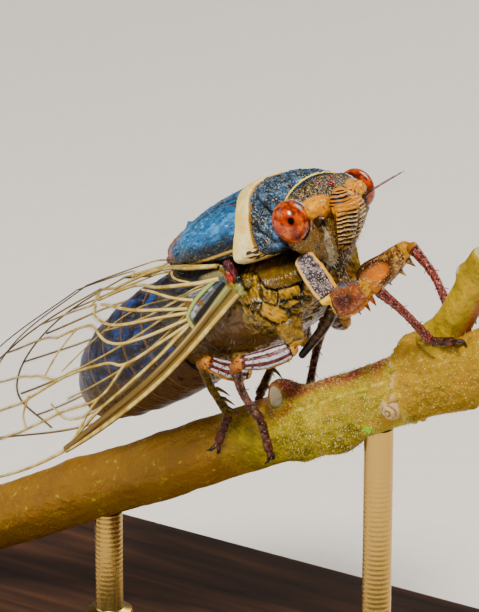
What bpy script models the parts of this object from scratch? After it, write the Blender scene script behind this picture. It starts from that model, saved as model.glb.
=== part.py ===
"""A cicada gripping a cut twig, life size, as a museum model on a small display stand.

The insect is worked out in millimetres in its own frame: x runs forward along the body,
y to the insect's left and z out of its back, with the origin at the top of the pale collar.
The finished pieces are turned to the pose, nose up, and written in metres, +Z up, with the
origin in the middle of the stand's underside.
"""
import math

import bmesh
import bpy
from mathutils import Matrix, Vector
from mathutils.geometry import delaunay_2d_cdt

for old in list(bpy.data.objects):
    bpy.data.objects.remove(old, do_unlink=True)

MM = 0.001
GAP = 0.3                       # air between pieces that touch
BODY_PITCH = math.radians(27)   # nose up, along the twig
COLLAR_TOP = Vector((1.95, 0.0, 31.8))

EYE_CENTRE = Vector((3.2, 3.3, -2.42))
EYE_RADII = (0.98, 0.95, 1.15)

TWIG_HEIGHT = -13.1             # axis of the twig below the collar's top
TWIG_RADIUS = 1.82
TWIG_REAR = -28.3
TWIG_FRONT = 9.6
SHOOT_FOOT = Vector((7.35, 0.0, -11.15))
SHOOT_TIP = Vector((11.9, 0.0, -7.88))
SHOOT_RADIUS = 0.98

BASE_LENGTH = 46.0
BASE_DEPTH = 26.0
BASE_THICKNESS = 3.5
BASE_CORNER = 3.0
BASE_CHAMFER = 0.6
ROD_RADIUS = 0.8
ROD_FRONT_X = 9.5
ROD_REAR_X = -8.5

WING_HALF_THICKNESS = 0.25
VEIN_RISE = 0.17
VEIN_HALF_WIDTH = 0.2
HINDWING_DROP = 1.15            # how far the hindwing lies under the forewing

# Edges of the folded right forewing: front edge, inner edge along the back, outer edge.
COSTA = ((-0.6, -4.5, -4.9), (-7.6, -5.75, -7.75), (-15.4, -6.0, -9.9), (-22.6, -4.9, -10.2), (-28.0, -3.0, -9.0))
INNER = ((-1.5, -4.4, -3.2), (-3.9, -3.75, -2.75), (-6.8, -2.05, -2.3), (-10.5, -0.85, -2.15), (-14.6, -0.45, -2.1))
OUTER = ((-28.0, -3.0, -9.0), (-26.4, -2.0, -6.2), (-21.5, -0.95, -3.7), (-14.6, -0.45, -2.1))
WING_BULGE = 1.9
BULGE_AIM = Vector((0.0, -0.76, 0.65))
WING_LENGTH = 28.0
WING_ROOT_WIDTH = 2.0
WING_TIP_WIDTH = 13.0

# Veins of the forewing: how far out (0 root, 1 outer edge), how far up (0 front edge, 1 inner edge).
FOREWING_VEINS = {
    "costa": ((0.01, 0.03), (0.12, 0.035), (0.28, 0.03), (0.49, 0.015)),
    "radius": ((0.12, 0.09), (0.20, 0.095), (0.31, 0.085), (0.40, 0.06), (0.49, 0.015)),
    "arculus": ((0.02, 0.40), (0.08, 0.30), (0.115, 0.22), (0.12, 0.15), (0.12, 0.09)),
    "median_low": ((0.12, 0.15), (0.20, 0.19), (0.295, 0.215), (0.35, 0.29), (0.50, 0.34), (0.70, 0.31), (0.90, 0.27)),
    "median_fork": ((0.295, 0.215), (0.38, 0.14), (0.50, 0.18), (0.68, 0.175), (0.87, 0.12)),
    "node_vein": ((0.38, 0.14), (0.42, 0.10), (0.47, 0.02)),
    "median_mid": ((0.12, 0.19), (0.24, 0.30), (0.33, 0.39), (0.48, 0.60), (0.68, 0.63), (0.89, 0.62)),
    "median_high": ((0.115, 0.24), (0.19, 0.37), (0.34, 0.51), (0.49, 0.66), (0.62, 0.78), (0.78, 0.92)),
    "cubitus": ((0.11, 0.27), (0.16, 0.39), (0.30, 0.58), (0.54, 0.75)),
    "anal_branch": ((0.09, 0.31), (0.14, 0.47), (0.24, 0.68), (0.34, 0.77)),
    "anal": ((0.015, 0.38), (0.08, 0.52), (0.22, 0.71), (0.49, 0.84), (0.78, 0.92)),
    "inner_vein": ((0.01, 0.90), (0.18, 0.955), (0.37, 0.965), (0.57, 0.91), (0.78, 0.92)),
    "inner_loop": ((0.31, 0.93), (0.20, 0.81), (0.09, 0.57)),
    "marginal": ((0.84, 0.03), (0.90, 0.22), (0.915, 0.42), (0.90, 0.62), (0.86, 0.80), (0.78, 0.92)),
    "apical": ((0.50, 0.34), (0.63, 0.43), (0.78, 0.46), (0.915, 0.47)),
    "outer_fork": ((0.62, 0.78), (0.74, 0.78), (0.865, 0.76)),
    "cross_low": ((0.60, 0.18), (0.61, 0.25), (0.60, 0.33)),
    "cross_mid": ((0.56, 0.385), (0.55, 0.50), (0.54, 0.61)),
}
HINDWING_VEINS = {
    "front": ((0.08, 0.20), (0.30, 0.17), (0.50, 0.20)),
    "middle": ((0.08, 0.30), (0.28, 0.38), (0.50, 0.42)),
    "rear": ((0.08, 0.42), (0.26, 0.58), (0.44, 0.64)),
}
HINDWING_OUTLINE = ((0.06, 0.16), (0.20, 0.12), (0.38, 0.10), (0.52, 0.16), (0.57, 0.30), (0.56, 0.46),
                    (0.50, 0.62), (0.38, 0.72), (0.24, 0.70), (0.12, 0.56), (0.06, 0.38))

# Plates of the thorax's side: x, z, half length, half height, turn in degrees, how far they stand out.
SIDE_PLATES = ((0.95, -4.95, 1.1, 0.7, -10, 0.16), (1.1, -6.15, 0.8, 0.5, 20, 0.14), (-0.35, -5.9, 0.7, 0.65, -20, 0.14),
               (-0.1, -7.15, 0.5, 0.7, 15, 0.14), (-1.8, -6.7, 0.9, 0.8, 10, 0.12), (-3.9, -6.9, 1.1, 1.1, 0, 0.1))

# Marks on the twig: along it, degrees round from the top towards the insect's right, height, length, width.
TWIG_MARKS = ((-4.1, 20, 0.35, 0.75, 30), (3.6, 108, 0.4, 0.6, 22), (5.0, 5, 0.75, 0.9, 40), (6.4, 0, 0.6, 1.3, 35),
              (-1.4, 158, 0.55, 1.3, 50), (-3.9, 168, 0.35, 1.0, 45), (-6.0, 60, 0.12, 1.2, 60),
              (1.35, 132, 0.25, 0.6, 25), (7.5, 150, 0.3, 1.2, 60), (-14.0, 100, 0.2, 1.5, 70), (-20.0, 20, 0.15, 1.5, 60))
TWIG_RIDGES = 5
TWIG_RIDGE_HEIGHT = 0.05

# Edges of the pale collar: height below its top, place along the body.
COLLAR_REAR = ((0.3, -0.45), (0.0, -0.4), (-0.7, 0.1), (-1.6, 0.2), (-2.4, -0.1), (-3.0, -0.4), (-4.4, -0.5))
COLLAR_FRONT = ((0.3, 0.4), (0.0, 0.45), (-0.4, 0.75), (-1.1, 1.1), (-1.9, 1.2), (-2.65, 1.15), (-3.4, 1.3),
                (-4.4, 1.6))

LEGS = {
    # coxa root, coxa end, knee, ankle, toe
    "front_right": ((2.6, -2.7, -4.4), (3.3, -2.65, -7.2), (7.0, -4.0, -6.85), (7.2, -1.2, -11.0), (8.8, -1.5, -11.35)),
    "front_left": ((2.4, 2.6, -4.6), (1.2, 2.3, -7.2), (5.14, 3.2, -6.2), (7.2, 1.45, -9.9), (8.2, 1.6, -10.6)),
    "mid_right": ((-0.1, -2.6, -7.0), (-0.1, -2.5, -8.8), (-2.9, -4.6, -8.45), (-4.5, -2.3, -12.1), (-4.8, -2.3, -13.9)),
    "mid_left": ((-0.1, 2.6, -7.0), (-0.1, 2.5, -8.8), (-2.9, 4.6, -8.45), (-4.4, 2.3, -12.1), (-4.9, 2.3, -13.8)),
    "hind_right": ((-3.9, -2.4, -7.9), (-3.6, -2.6, -9.3), (-4.6, -5.0, -7.7), (-6.9, -1.7, -11.3), (-7.9, -2.4, -12.6)),
    "hind_left": ((-3.9, 2.4, -7.9), (-3.6, 2.6, -9.3), (-4.7, 5.0, -7.7), (-7.2, 1.7, -11.3), (-8.2, 2.4, -12.6)),
}

FEELERS = {
    "left": ((3.95, 1.95, -2.9), (6.8, 3.0, -2.35)),
    "right": ((3.95, -1.95, -2.9), (6.1, -3.6, -3.0)),
}

SOLVER = "MANIFOLD"  # the exact solver turns the pronotum inside out where a cutter misses it
FORMS = {}           # the simple closed forms that each piece starts from, before any cut


def colour(hex_code):
    """Linear colour of an sRGB hex code."""
    parts = [int(hex_code[i:i + 2], 16) / 255 for i in (0, 2, 4)]
    return [c / 12.92 if c < 0.04045 else ((c + 0.055) / 1.055) ** 2.4 for c in parts] + [1.0]


def material(name, hex_code, roughness, metallic=0.0):
    """A plain Principled finish, made once for each name."""
    if name in bpy.data.materials:
        return bpy.data.materials[name]
    mat = bpy.data.materials.new(name)
    mat.use_nodes = True
    shader = mat.node_tree.nodes["Principled BSDF"]
    shader.inputs["Base Color"].default_value = colour(hex_code)
    shader.inputs["Roughness"].default_value = roughness
    shader.inputs["Metallic"].default_value = metallic
    return mat


def smooth_path(points, t):
    """A point on the smooth curve through the given points, t from 0 to 1."""
    points = [Vector(p) for p in points]
    place = t * (len(points) - 1)
    i = min(int(place), len(points) - 2)
    t = place - i
    before = points[i - 1] if i > 0 else 2 * points[0] - points[1]
    after = points[i + 2] if i + 2 < len(points) else 2 * points[-1] - points[-2]
    a, b = points[i], points[i + 1]
    bend = 2 * before - 5 * a + 4 * b - after
    twist = 3 * a - before - 3 * b + after
    return 0.5 * (2 * a + (b - before) * t + bend * t * t + twist * t ** 3)


def make_mesh(name, points, faces):
    """A mesh in the insect's frame, with its faces turned outwards."""
    bm = bmesh.new()
    verts = [bm.verts.new(p) for p in points]
    for face in faces:
        bm.faces.new([verts[i] for i in face])
    bmesh.ops.recalc_face_normals(bm, faces=bm.faces)
    if bm.calc_volume(signed=True) < 0:
        bmesh.ops.reverse_faces(bm, faces=bm.faces)
    mesh = bpy.data.meshes.new(name)
    bm.to_mesh(mesh)
    bm.free()
    obj = bpy.data.objects.new(name, mesh)
    bpy.context.scene.collection.objects.link(obj)
    FORMS[obj.name] = [mesh.copy()]
    return obj


def loft(name, rings, ends=None):
    """A closed body through rings of the same number of points, capped by fans."""
    count = len(rings[0])
    middles = ends or [sum((Vector(p) for p in ring), Vector()) / count for ring in (rings[0], rings[-1])]
    points = [p for ring in rings for p in ring]
    faces = []
    for r in range(len(rings) - 1):
        for k in range(count):
            k2 = (k + 1) % count
            faces.append((r * count + k, r * count + k2, (r + 1) * count + k2, (r + 1) * count + k))
    for middle, first in zip(middles, (0, (len(rings) - 1) * count)):
        hub = len(points)
        points.append(middle)
        for k in range(count):
            faces.append((first + k, first + (k + 1) % count, hub))
    return make_mesh(name, points, faces)


def tube(name, path, radii, sides=8, flat=1.0, steps=6, aim=Vector((0, 0, 1))):
    """A tapered limb along a smooth path; flat squeezes it across the aim direction."""
    rings = []
    for s in range(steps + 1):
        t = s / steps
        here = smooth_path(path, t)
        ahead = smooth_path(path, min(1, t + 0.02)) - smooth_path(path, max(0, t - 0.02))
        ahead.normalize()
        side = ahead.cross(aim).normalized()
        rise = side.cross(ahead)
        radius = smooth_path([(r, 0, 0) for r in radii], t).x
        ring = []
        for k in range(sides):
            a = 2 * math.pi * k / sides
            ring.append(here + radius * (math.cos(a) * flat * side + math.sin(a) * rise))
        rings.append(ring)
    return loft(name, rings)


def ball(name, centre, radii, segments=12, rings=8, turn=0):
    """An ellipsoid with its poles along y, turned about them by some degrees."""
    centre = Vector(centre)
    spin = Matrix.Rotation(math.radians(-turn), 3, "Y")
    loops = []
    for r in range(1, rings):
        polar = math.pi * r / rings
        loop = []
        for k in range(segments):
            a = 2 * math.pi * k / segments
            loop.append(centre + spin @ Vector((
                radii[0] * math.sin(polar) * math.cos(a),
                -radii[1] * math.cos(polar),
                radii[2] * math.sin(polar) * math.sin(a))))
        loops.append(loop)
    pole = Vector((0, radii[1], 0))
    return loft(name, loops, (centre - pole, centre + pole))


def arch_ring(x, top, side, bottom, half_width, power=2.2, sides=20, lean=0.0):
    """One cross-section: rounded over the back, and as round or square below."""
    ring = []
    for k in range(sides):
        a = 2 * math.pi * k / sides
        c, s = math.cos(a), math.sin(a)
        y = half_width * math.copysign(abs(c) ** (2 / power), c)
        reach = top - side if s > 0 else side - bottom
        z = side + math.copysign(abs(s) ** (2 / power), s) * reach
        ring.append(Vector((x - lean * (top - z), y, z)))
    return ring


def read_table(table, height):
    """The second value of a table of pairs, at a given first value, falling from row to row."""
    for (a, x), (b, y) in zip(table, table[1:]):
        if height >= b:
            return x + (y - x) * (a - min(a, height)) / (a - b)
    return table[-1][1]


def band_ring(edge, lift, inset=0.0):
    """An arched ring of the collar, bent along one of its edges."""
    ring = arch_ring(0.0, lift, -3.2, -4.0 - lift, 4.38 + lift, 2.2, 28)
    return [Vector((read_table(edge, p.z) + inset, p.y, p.z)) for p in ring]


def smooth_stations(stations, count):
    """The same stations, read more finely along a smooth curve."""
    heads = [(row[0], row[1], row[2]) for row in stations]
    tails = [(row[3], row[4], 0) for row in stations]
    out = []
    for i in range(count + 1):
        a, b = smooth_path(heads, i / count), smooth_path(tails, i / count)
        out.append((a.x, a.y, a.z, b.x, b.y))
    return out


def inflated(mesh, gap):
    """A copy of a simple closed form, grown evenly by the gap."""
    bm = bmesh.new()
    bm.from_mesh(mesh)
    bm.normal_update()
    moved = [v.co + v.normal * gap * min(v.calc_shell_factor(), 1.6) for v in bm.verts]
    for v, co in zip(bm.verts, moved):
        v.co = co
    mesh = bpy.data.meshes.new("cutter")
    bm.to_mesh(mesh)
    bm.free()
    cutter = bpy.data.objects.new("cutter", mesh)
    bpy.context.scene.collection.objects.link(cutter)
    return cutter


def keep_largest(obj):
    """Only the largest closed surface of a mesh stays."""
    bm = bmesh.new()
    bm.from_mesh(obj.data)
    left = set(bm.faces)
    shells = []
    while left:
        shell = {left.pop()}
        front = list(shell)
        while front:
            face = front.pop()
            for edge in face.edges:
                for other in edge.link_faces:
                    if other in left:
                        left.discard(other)
                        shell.add(other)
                        front.append(other)
        shells.append(shell)
    shells.sort(key=lambda shell: sum(f.calc_area() for f in shell))
    drop = [f for shell in shells[:-1] for f in shell]
    bmesh.ops.delete(bm, geom=drop, context="FACES")
    bmesh.ops.delete(bm, geom=[v for v in bm.verts if not v.link_faces], context="VERTS")
    bm.to_mesh(obj.data)
    bm.free()


def apply_modifiers(obj):
    """The evaluated mesh replaces the mesh and its modifiers."""
    view = bpy.context.evaluated_depsgraph_get()
    mesh = bpy.data.meshes.new_from_object(obj.evaluated_get(view))
    obj.modifiers.clear()
    obj.data = mesh


def carve(obj, *neighbours, gap=GAP):
    """Cut a piece back so that it keeps the gap to each form of each neighbour."""
    for neighbour in neighbours:
        for form in FORMS[neighbour.name]:
            cutter = inflated(form, gap)
            cut = obj.modifiers.new("clear", "BOOLEAN")
            cut.operation = "DIFFERENCE"
            cut.solver = SOLVER
            cut.object = cutter
            apply_modifiers(obj)
            bpy.data.objects.remove(cutter, do_unlink=True)
            keep_largest(obj)


def fuse(obj, pieces):
    """One union of a piece with all that grows from it."""
    for piece in pieces:
        FORMS[obj.name] += FORMS.pop(piece.name)
    group = bpy.data.collections.new("grown")
    bpy.context.scene.collection.children.link(group)
    for piece in pieces:
        bpy.context.scene.collection.objects.unlink(piece)
        group.objects.link(piece)
    join = obj.modifiers.new("join", "BOOLEAN")
    join.operation = "UNION"
    join.solver = SOLVER
    join.operand_type = "COLLECTION"
    join.collection = group
    apply_modifiers(obj)
    for piece in pieces:
        bpy.data.objects.remove(piece, do_unlink=True)
    bpy.data.collections.remove(group)
    keep_largest(obj)


def wing_point(u, v):
    """The right forewing's middle surface: u out from the root, v up from the front edge."""
    front = smooth_path(COSTA, u)
    inner = smooth_path(INNER, u)
    outer = smooth_path(OUTER, v)
    corners = [Vector(p) for p in (COSTA[0], INNER[0], COSTA[-1], INNER[-1])]
    root = corners[0].lerp(corners[1], v)
    blend = (1 - u) * corners[0].lerp(corners[1], v) + u * corners[2].lerp(corners[3], v)
    bulge = WING_BULGE * math.sin(math.pi * v) * math.sin(math.pi * min(1, (u + 0.08) / 1.08) ** 0.8)
    return (1 - v) * front + v * inner + (1 - u) * root + u * outer - blend + bulge * BULGE_AIM


def wing_normal(u, v):
    """Outward direction of the right forewing's surface."""
    e = 0.01
    du = wing_point(min(1, u + e), v) - wing_point(max(0, u - e), v)
    dv = wing_point(u, min(1, v + e)) - wing_point(u, max(0, v - e))
    normal = du.cross(dv).normalized()
    return normal if normal.dot(BULGE_AIM) > 0 else -normal


def wing_flat(u, v):
    """Rough flat layout of the wing, in millimetres, to space its points evenly."""
    return Vector((u * WING_LENGTH, v * (WING_ROOT_WIDTH + (WING_TIP_WIDTH - WING_ROOT_WIDTH) * min(1, u * 1.6))))


def wing_unflat(p):
    """Back from the flat layout to u and v."""
    u = p.x / WING_LENGTH
    return u, p.y / (WING_ROOT_WIDTH + (WING_TIP_WIDTH - WING_ROOT_WIDTH) * min(1, u * 1.6))


def spaced(path, step):
    """Points every step along a smooth path of the flat layout."""
    fine = [smooth_path(path, i / 60) for i in range(61)]
    length = sum((b - a).length for a, b in zip(fine, fine[1:]))
    count = max(2, round(length / step))
    return [smooth_path(path, i / count) for i in range(count + 1)]


def wing_plate(name, outline, veins, drop, side, spacing):
    """A wing as one closed plate, its veins raised in its own surface on both faces."""
    points, rises, edges = [], [], []

    def add(p, rise):
        for i, q in enumerate(points):
            if (q - p).length < 0.24:
                rises[i] = max(rises[i], rise)
                return i
        points.append(p.copy())
        rises.append(rise)
        return len(points) - 1

    rim = [add(p, 0.0) for p in outline]
    for i, a in enumerate(rim):
        edges.append((a, rim[(i + 1) % len(rim)]))
    inside = len(rim)
    paths = []
    for vein in veins.values():
        flat = [Vector((*wing_flat(*p), 0)) for p in vein]
        paths.append([p.xy for p in spaced(flat, spacing)])
    for path in paths:
        last = None
        for p in path:
            here = add(p, VEIN_RISE)
            if last is not None and last != here:
                edges.append((last, here))
            last = here
    centres = [p.copy() for p in points[inside:]]
    for path in paths:
        for a, b in zip(path, path[1:]):
            across = (b - a).normalized().orthogonal() * VEIN_HALF_WIDTH * 1.4
            for p in ((a + b) / 2 + across, (a + b) / 2 - across):
                if all((p - c).length > VEIN_HALF_WIDTH for c in centres) and inside_outline(p, outline):
                    add(p, 0.0)
    grid = spacing * 1.7
    for i in range(int(WING_LENGTH / grid) + 1):
        for j in range(int(WING_TIP_WIDTH / grid) + 1):
            p = Vector((i * grid + grid / 2 * (j % 2), j * grid))
            if inside_outline(p, outline) and all((p - q).length > grid * 0.45 for q in points):
                add(p, 0.0)
    flat = [Vector(p) for p in points]
    out, out_edges, faces, origin, _, _ = delaunay_2d_cdt(flat, edges, [], 1, 1e-5)
    rise = [max([rises[i] for i in came] or [VEIN_RISE]) for came in origin]
    top, under = [], []
    for p, r in zip(out, rise):
        u, v = wing_unflat(p)
        u, v = min(1, max(0, u)), min(1, max(0, v))
        middle, normal = wing_point(u, v), wing_normal(u, v)
        middle = middle - normal * drop
        thick = WING_HALF_THICKNESS
        top.append(middle + normal * (thick + r))
        under.append(middle - normal * (thick + r * 0.6))
    kept = [f for f in faces if inside_outline(sum((out[i] for i in f), Vector((0, 0))) / 3, outline)]
    count = len(out)
    solid = [tuple(f) for f in kept] + [tuple(i + count for i in reversed(f)) for f in kept]
    seen = {}
    for f in kept:
        for a, b in zip(f, (f[1], f[2], f[0])):
            seen[(a, b)] = True
    for a, b in seen:
        if (b, a) not in seen:
            solid.append((a, b, b + count))
            solid.append((a, b + count, a + count))
    every = top + under
    used = sorted({i for f in solid for i in f})
    index = {old: new for new, old in enumerate(used)}
    verts = [Vector((every[i].x, every[i].y * side, every[i].z)) for i in used]
    return make_mesh(name, verts, [tuple(index[i] for i in f) for f in solid])


def inside_outline(p, outline):
    """Whether a flat point lies inside a closed outline."""
    inside = False
    for a, b in zip(outline, outline[1:] + outline[:1]):
        if (a.y > p.y) != (b.y > p.y):
            if p.x < (b.x - a.x) * (p.y - a.y) / (b.y - a.y) + a.x:
                inside = not inside
    return inside


def plain_plate(name, side):
    """The forewing without its veins, as thick as they are, for cutting its neighbours."""
    across, along = 6, 14
    points = []
    for offset in (WING_HALF_THICKNESS + VEIN_RISE, -WING_HALF_THICKNESS - VEIN_RISE * 0.6):
        for i in range(along + 1):
            for j in range(across + 1):
                u, v = i / along, j / across
                p = wing_point(u, v) + wing_normal(u, v) * offset
                points.append(Vector((p.x, p.y * side, p.z)))
    row, layer = across + 1, (across + 1) * (along + 1)
    faces = []
    for i in range(along):
        for j in range(across):
            a = i * row + j
            faces.append((a, a + 1, a + row + 1, a + row))
            faces.append((a + layer, a + layer + row, a + layer + row + 1, a + layer + 1))
    rim = [j for j in range(row)] + [i * row + across for i in range(1, along + 1)]
    rim += [along * row + j for j in range(across - 1, -1, -1)] + [i * row for i in range(along - 1, 0, -1)]
    for a, b in zip(rim, rim[1:] + rim[:1]):
        faces.append((a, b, b + layer, a + layer))
    return make_mesh(name, points, faces)


def forewing(name, side):
    """A folded forewing, roofed over the abdomen."""
    rim = [wing_flat(i / 24, 0) for i in range(24)]
    rim += [wing_flat(1, i / 9) for i in range(9)]
    rim += [wing_flat(1 - i / 22, 1) for i in range(22)]
    rim += [wing_flat(0, 1 - i / 2) for i in range(2)]
    obj = wing_plate(name, rim, FOREWING_VEINS, 0.0, side, 1.6)
    plain = plain_plate("plain_" + name, side)
    FORMS[obj.name] = FORMS.pop(plain.name)
    bpy.data.objects.remove(plain, do_unlink=True)
    return obj


def hindwing(name, side):
    """The shorter hindwing, tucked under the forewing."""
    corners = [Vector((*wing_flat(*p), 0)) for p in HINDWING_OUTLINE]
    closed = corners + corners[:2]
    rim = []
    for i in range(len(corners)):
        steps = max(1, round((closed[i + 1] - closed[i]).length / 1.5))
        for k in range(steps):
            rim.append(closed[i].lerp(closed[i + 1], k / steps).xy)
    return wing_plate(name, rim, HINDWING_VEINS, HINDWING_DROP, side, 1.4)


def head_profile(t, side):
    """One point of the head's outline from the side: crown section at 0, by the eyes at 1."""
    crown = ((3.0, -1.1), (3.75, -0.98), (4.15, -1.5), (4.35, -2.05), (4.0, -3.0), (3.7, -4.2),
             (3.1, -5.35), (2.5, -5.0), (2.3, -3.0))
    cheek = ((2.6, -1.65), (3.0, -1.5), (3.5, -1.8), (3.8, -2.4), (3.75, -3.0), (3.5, -3.6),
             (3.1, -3.95), (2.6, -3.8), (2.3, -2.8))
    share = side ** 1.7
    loop = [Vector((a[0] + (b[0] - a[0]) * share, a[1] + (b[1] - a[1]) * share, 0)) for a, b in zip(crown, cheek)]
    count = len(loop)
    i = int(t * count) % count
    four = [loop[(i + k - 1) % count] for k in range(4)]
    return smooth_path(four, (1 + t * count - int(t * count)) / 3)


def head():
    """The short broad head, with its ocelli and the ledges over the feelers."""
    rings = []
    for s in range(-6, 7):
        y = 3.3 * s / 6
        ring = []
        for k in range(20):
            p = head_profile(k / 20, abs(s) / 6)
            ring.append(Vector((p.x, y, p.y)))
        rings.append(ring)
    obj = loft("head", rings)
    extras = []
    for side in (-1, 1):
        extras.append(ball("ledge", (3.88, side * 1.85, -2.35), (0.6, 0.9, 0.42), 12, 6))
        extras.append(ball("cheek", (3.25, side * 0.95, -4.7), (0.42, 0.4, 1.0), 10, 6))
        extras.append(ball("ocellus", (3.74, side * 0.6, -1.28), (0.2, 0.2, 0.2), 8, 6))
    extras.append(ball("ocellus", (4.1, 0, -1.55), (0.2, 0.2, 0.2), 8, 6))
    fuse(obj, extras)
    return obj


def face():
    """The swollen, ribbed face plate that tapers down to the beak."""
    ribs = 9
    rib_top, rib_low = -2.1, -4.85
    stations = ((-1.75, 4.55, 0.3), (-2.2, 5.1, 0.85), (-2.75, 5.28, 1.15), (-3.4, 5.15, 1.28), (-4.05, 4.8, 1.2),
                (-4.65, 4.4, 1.0), (-5.2, 3.98, 0.78), (-5.75, 3.55, 0.58), (-6.25, 3.15, 0.4))
    rings = []
    for i in range(41):
        here = smooth_path(stations, i / 40)
        z, front, half = here.x, here.y, here.z
        within = rib_low < z < rib_top
        wave = 0.07 * math.cos(2 * math.pi * ribs * (z - rib_top) / (rib_low - rib_top)) if within else 0.0
        depth = 0.75 - 0.35 * i / 40
        ring = []
        for k in range(10):
            a = 2 * math.pi * k / 10
            lift = wave if math.cos(a) > 0.1 else 0.0
            ring.append(Vector((front - depth + (depth + lift) * math.cos(a), (half + lift) * math.sin(a), z)))
        rings.append(ring)
    return loft("face", rings)


def abdomen():
    """Eight overlapping segments that narrow to the tip."""
    stations = ((-7.0, -2.95, -5.8, -9.3, 3.9), (-9.0, -3.15, -6.1, -9.7, 3.9), (-11.0, -3.45, -6.4, -9.9, 3.7),
                (-13.0, -4.1, -6.8, -9.95, 3.25), (-14.8, -4.9, -7.3, -9.85, 2.6), (-16.2, -6.0, -7.8, -9.5, 1.6),
                (-17.0, -7.2, -8.1, -8.9, 0.6))
    segments = 8
    rows = smooth_stations(stations, segments * 2)
    rings = []
    for i, (x, top, side, bottom, half) in enumerate(rows):
        step = 0.1 if i % 2 == 0 and 0 < i < len(rows) - 1 else 0.0
        if step:
            rings.append(arch_ring(x, top, side, bottom, half, 2.1, 18))
        rings.append(arch_ring(x - step, top - step, side, bottom + step, half - step, 2.1, 18))
    return loft("abdomen", rings)


def thorn(name, root, tip, radius):
    """One short spine."""
    return tube(name, (root, tip), (radius, radius * 0.25), sides=5, steps=1, aim=Vector((0.2, 1, 0.1)))


def leg(which, body, perches):
    """Coxa, femur, tibia and tarsus, each cut clear of the one before."""
    root, hip, knee, ankle, toe = (Vector(p) for p in LEGS[which])
    front = which.startswith("front")
    coxa_mid = (root + hip) / 2
    name = "leg_" + which
    coxa = tube(name + "_coxa", (root, coxa_mid, hip), (0.58, 0.72, 0.6) if front else (0.8, 0.7, 0.45), 10, 1.0, 4,
                Vector((1, 0, 0)))
    carve(coxa, *body)
    sag = Vector((0, 0, -0.25))
    width = (0.42, 0.85, 0.82, 0.64, 0.38) if front else (0.34, 0.52, 0.54, 0.46, 0.34)
    femur = tube(name + "_femur", (hip + Vector((0, 0, -0.1)), (hip + knee) / 2 + sag, knee), width, 8, 0.8, 6)
    if front:
        along = (knee - hip).normalized()
        down = Vector((0, 0, -1)) - along * along.dot(Vector((0, 0, -1)))
        spines = []
        for share, length in ((0.38, 1.25), (0.62, 1.15), (0.8, 1.0)):
            base = hip.lerp(knee, share) + sag * 0.8
            spines.append(thorn("spine", base, base + down.normalized() * length + along * 0.45, 0.3))
        fuse(femur, spines)
    carve(femur, coxa, *body)
    tibia = tube(name + "_tibia", (knee, knee.lerp(ankle, 0.5) + (knee - hip).normalized() * 0.25, ankle),
                 (0.36, 0.29, 0.27, 0.31), 7, 1.0, 5, Vector((1, 0.2, 0)))
    if which.startswith("hind"):
        spurs = []
        out = (knee - ankle).cross(Vector((0, 1, 0))).normalized()
        for share in (0.5, 0.68, 0.86):
            base = knee.lerp(ankle, share)
            spurs.append(thorn("spur", base, base - out * 0.85 + (ankle - knee).normalized() * 0.35, 0.2))
        fuse(tibia, spurs)
    carve(tibia, femur, *perches)
    tarsus = tube(name + "_tarsus", (ankle, ankle.lerp(toe, 0.5), toe), (0.28, 0.26, 0.25), 7, 1.0, 4, Vector((1, 0.2, 0)))
    ahead = (toe - ankle).normalized()
    side = ahead.cross(Vector((1, 0, 0.3))).normalized()
    curl = side.cross(ahead)
    claws = []
    for s in (-1, 1):
        claws.append(tube("claw", (toe - ahead * 0.1, toe + ahead * 0.35 + side * 0.25 * s,
                                   toe + ahead * 0.55 + side * 0.35 * s - curl * 0.3), (0.2, 0.14, 0.05), 5, 1.0, 2,
                          Vector((1, 0.2, 0))))
    fuse(tarsus, claws)
    carve(tarsus, tibia, *perches)
    return coxa, femur, tibia, tarsus


def feeler(name, root, tip, skull):
    """A bristle feeler on two stout joints, in front of the eye."""
    root, tip = Vector(root), Vector(tip)
    obj = tube(name, (root, root.lerp(tip, 0.45), tip),
               (0.3, 0.26, 0.25, 0.22, 0.12), 6, 1.0, 5)
    carve(obj, *skull)
    return obj


def twig():
    """The cut length of stem, with its leaf scar, knot and swellings."""
    sides, rings_count = 18, 33
    rings = []
    for i in range(rings_count + 1):
        x = TWIG_REAR + (TWIG_FRONT - TWIG_REAR) * i / rings_count
        ring = []
        for k in range(sides):
            turn = 360 * k / sides
            radius = TWIG_RADIUS + TWIG_RIDGE_HEIGHT * math.cos(math.radians(TWIG_RIDGES * (turn - 20)))
            for along, round_at, height, length, width in TWIG_MARKS:
                apart = (turn - round_at + 180) % 360 - 180
                radius += height * math.exp(-((x - along) / length) ** 2 - (apart / width) ** 2)
            a = math.radians(turn)
            ring.append(Vector((x, -radius * math.sin(a), TWIG_HEIGHT + radius * math.cos(a))))
        rings.append(ring)
    return loft("perch_stem", rings)


def side_shoot(stem):
    """The side shoot that forks off the stem, with a bud scar."""
    obj = tube("perch_side_shoot", (SHOOT_FOOT, SHOOT_FOOT.lerp(SHOOT_TIP, 0.5), SHOOT_TIP),
               (1.35, SHOOT_RADIUS, SHOOT_RADIUS), 14, 1.0, 6)
    fuse(obj, [ball("scar", (10.2, -0.3, -8.25), (0.55, 0.45, 0.45), 8, 6)])
    carve(obj, stem)
    return obj


def to_world(p):
    """From the insect's frame to the stand's, still in millimetres."""
    return COLLAR_TOP + Matrix.Rotation(-BODY_PITCH, 3, "Y") @ Vector(p)


def finish(obj, mat, turned=True):
    """Turn a piece to the pose, write it in metres and give it its finish."""
    bm = bmesh.new()
    bm.from_mesh(obj.data)
    bmesh.ops.triangulate(bm, faces=bm.faces)
    bmesh.ops.dissolve_degenerate(bm, dist=0.002, edges=bm.edges)
    for v in bm.verts:
        v.co = (to_world(v.co) if turned else v.co) * MM
    bm.to_mesh(obj.data)
    bm.free()
    obj.data.materials.clear()
    obj.data.materials.append(mat)
    obj.data.shade_smooth()
    obj.data.set_sharp_from_angle(angle=math.radians(35))


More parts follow.
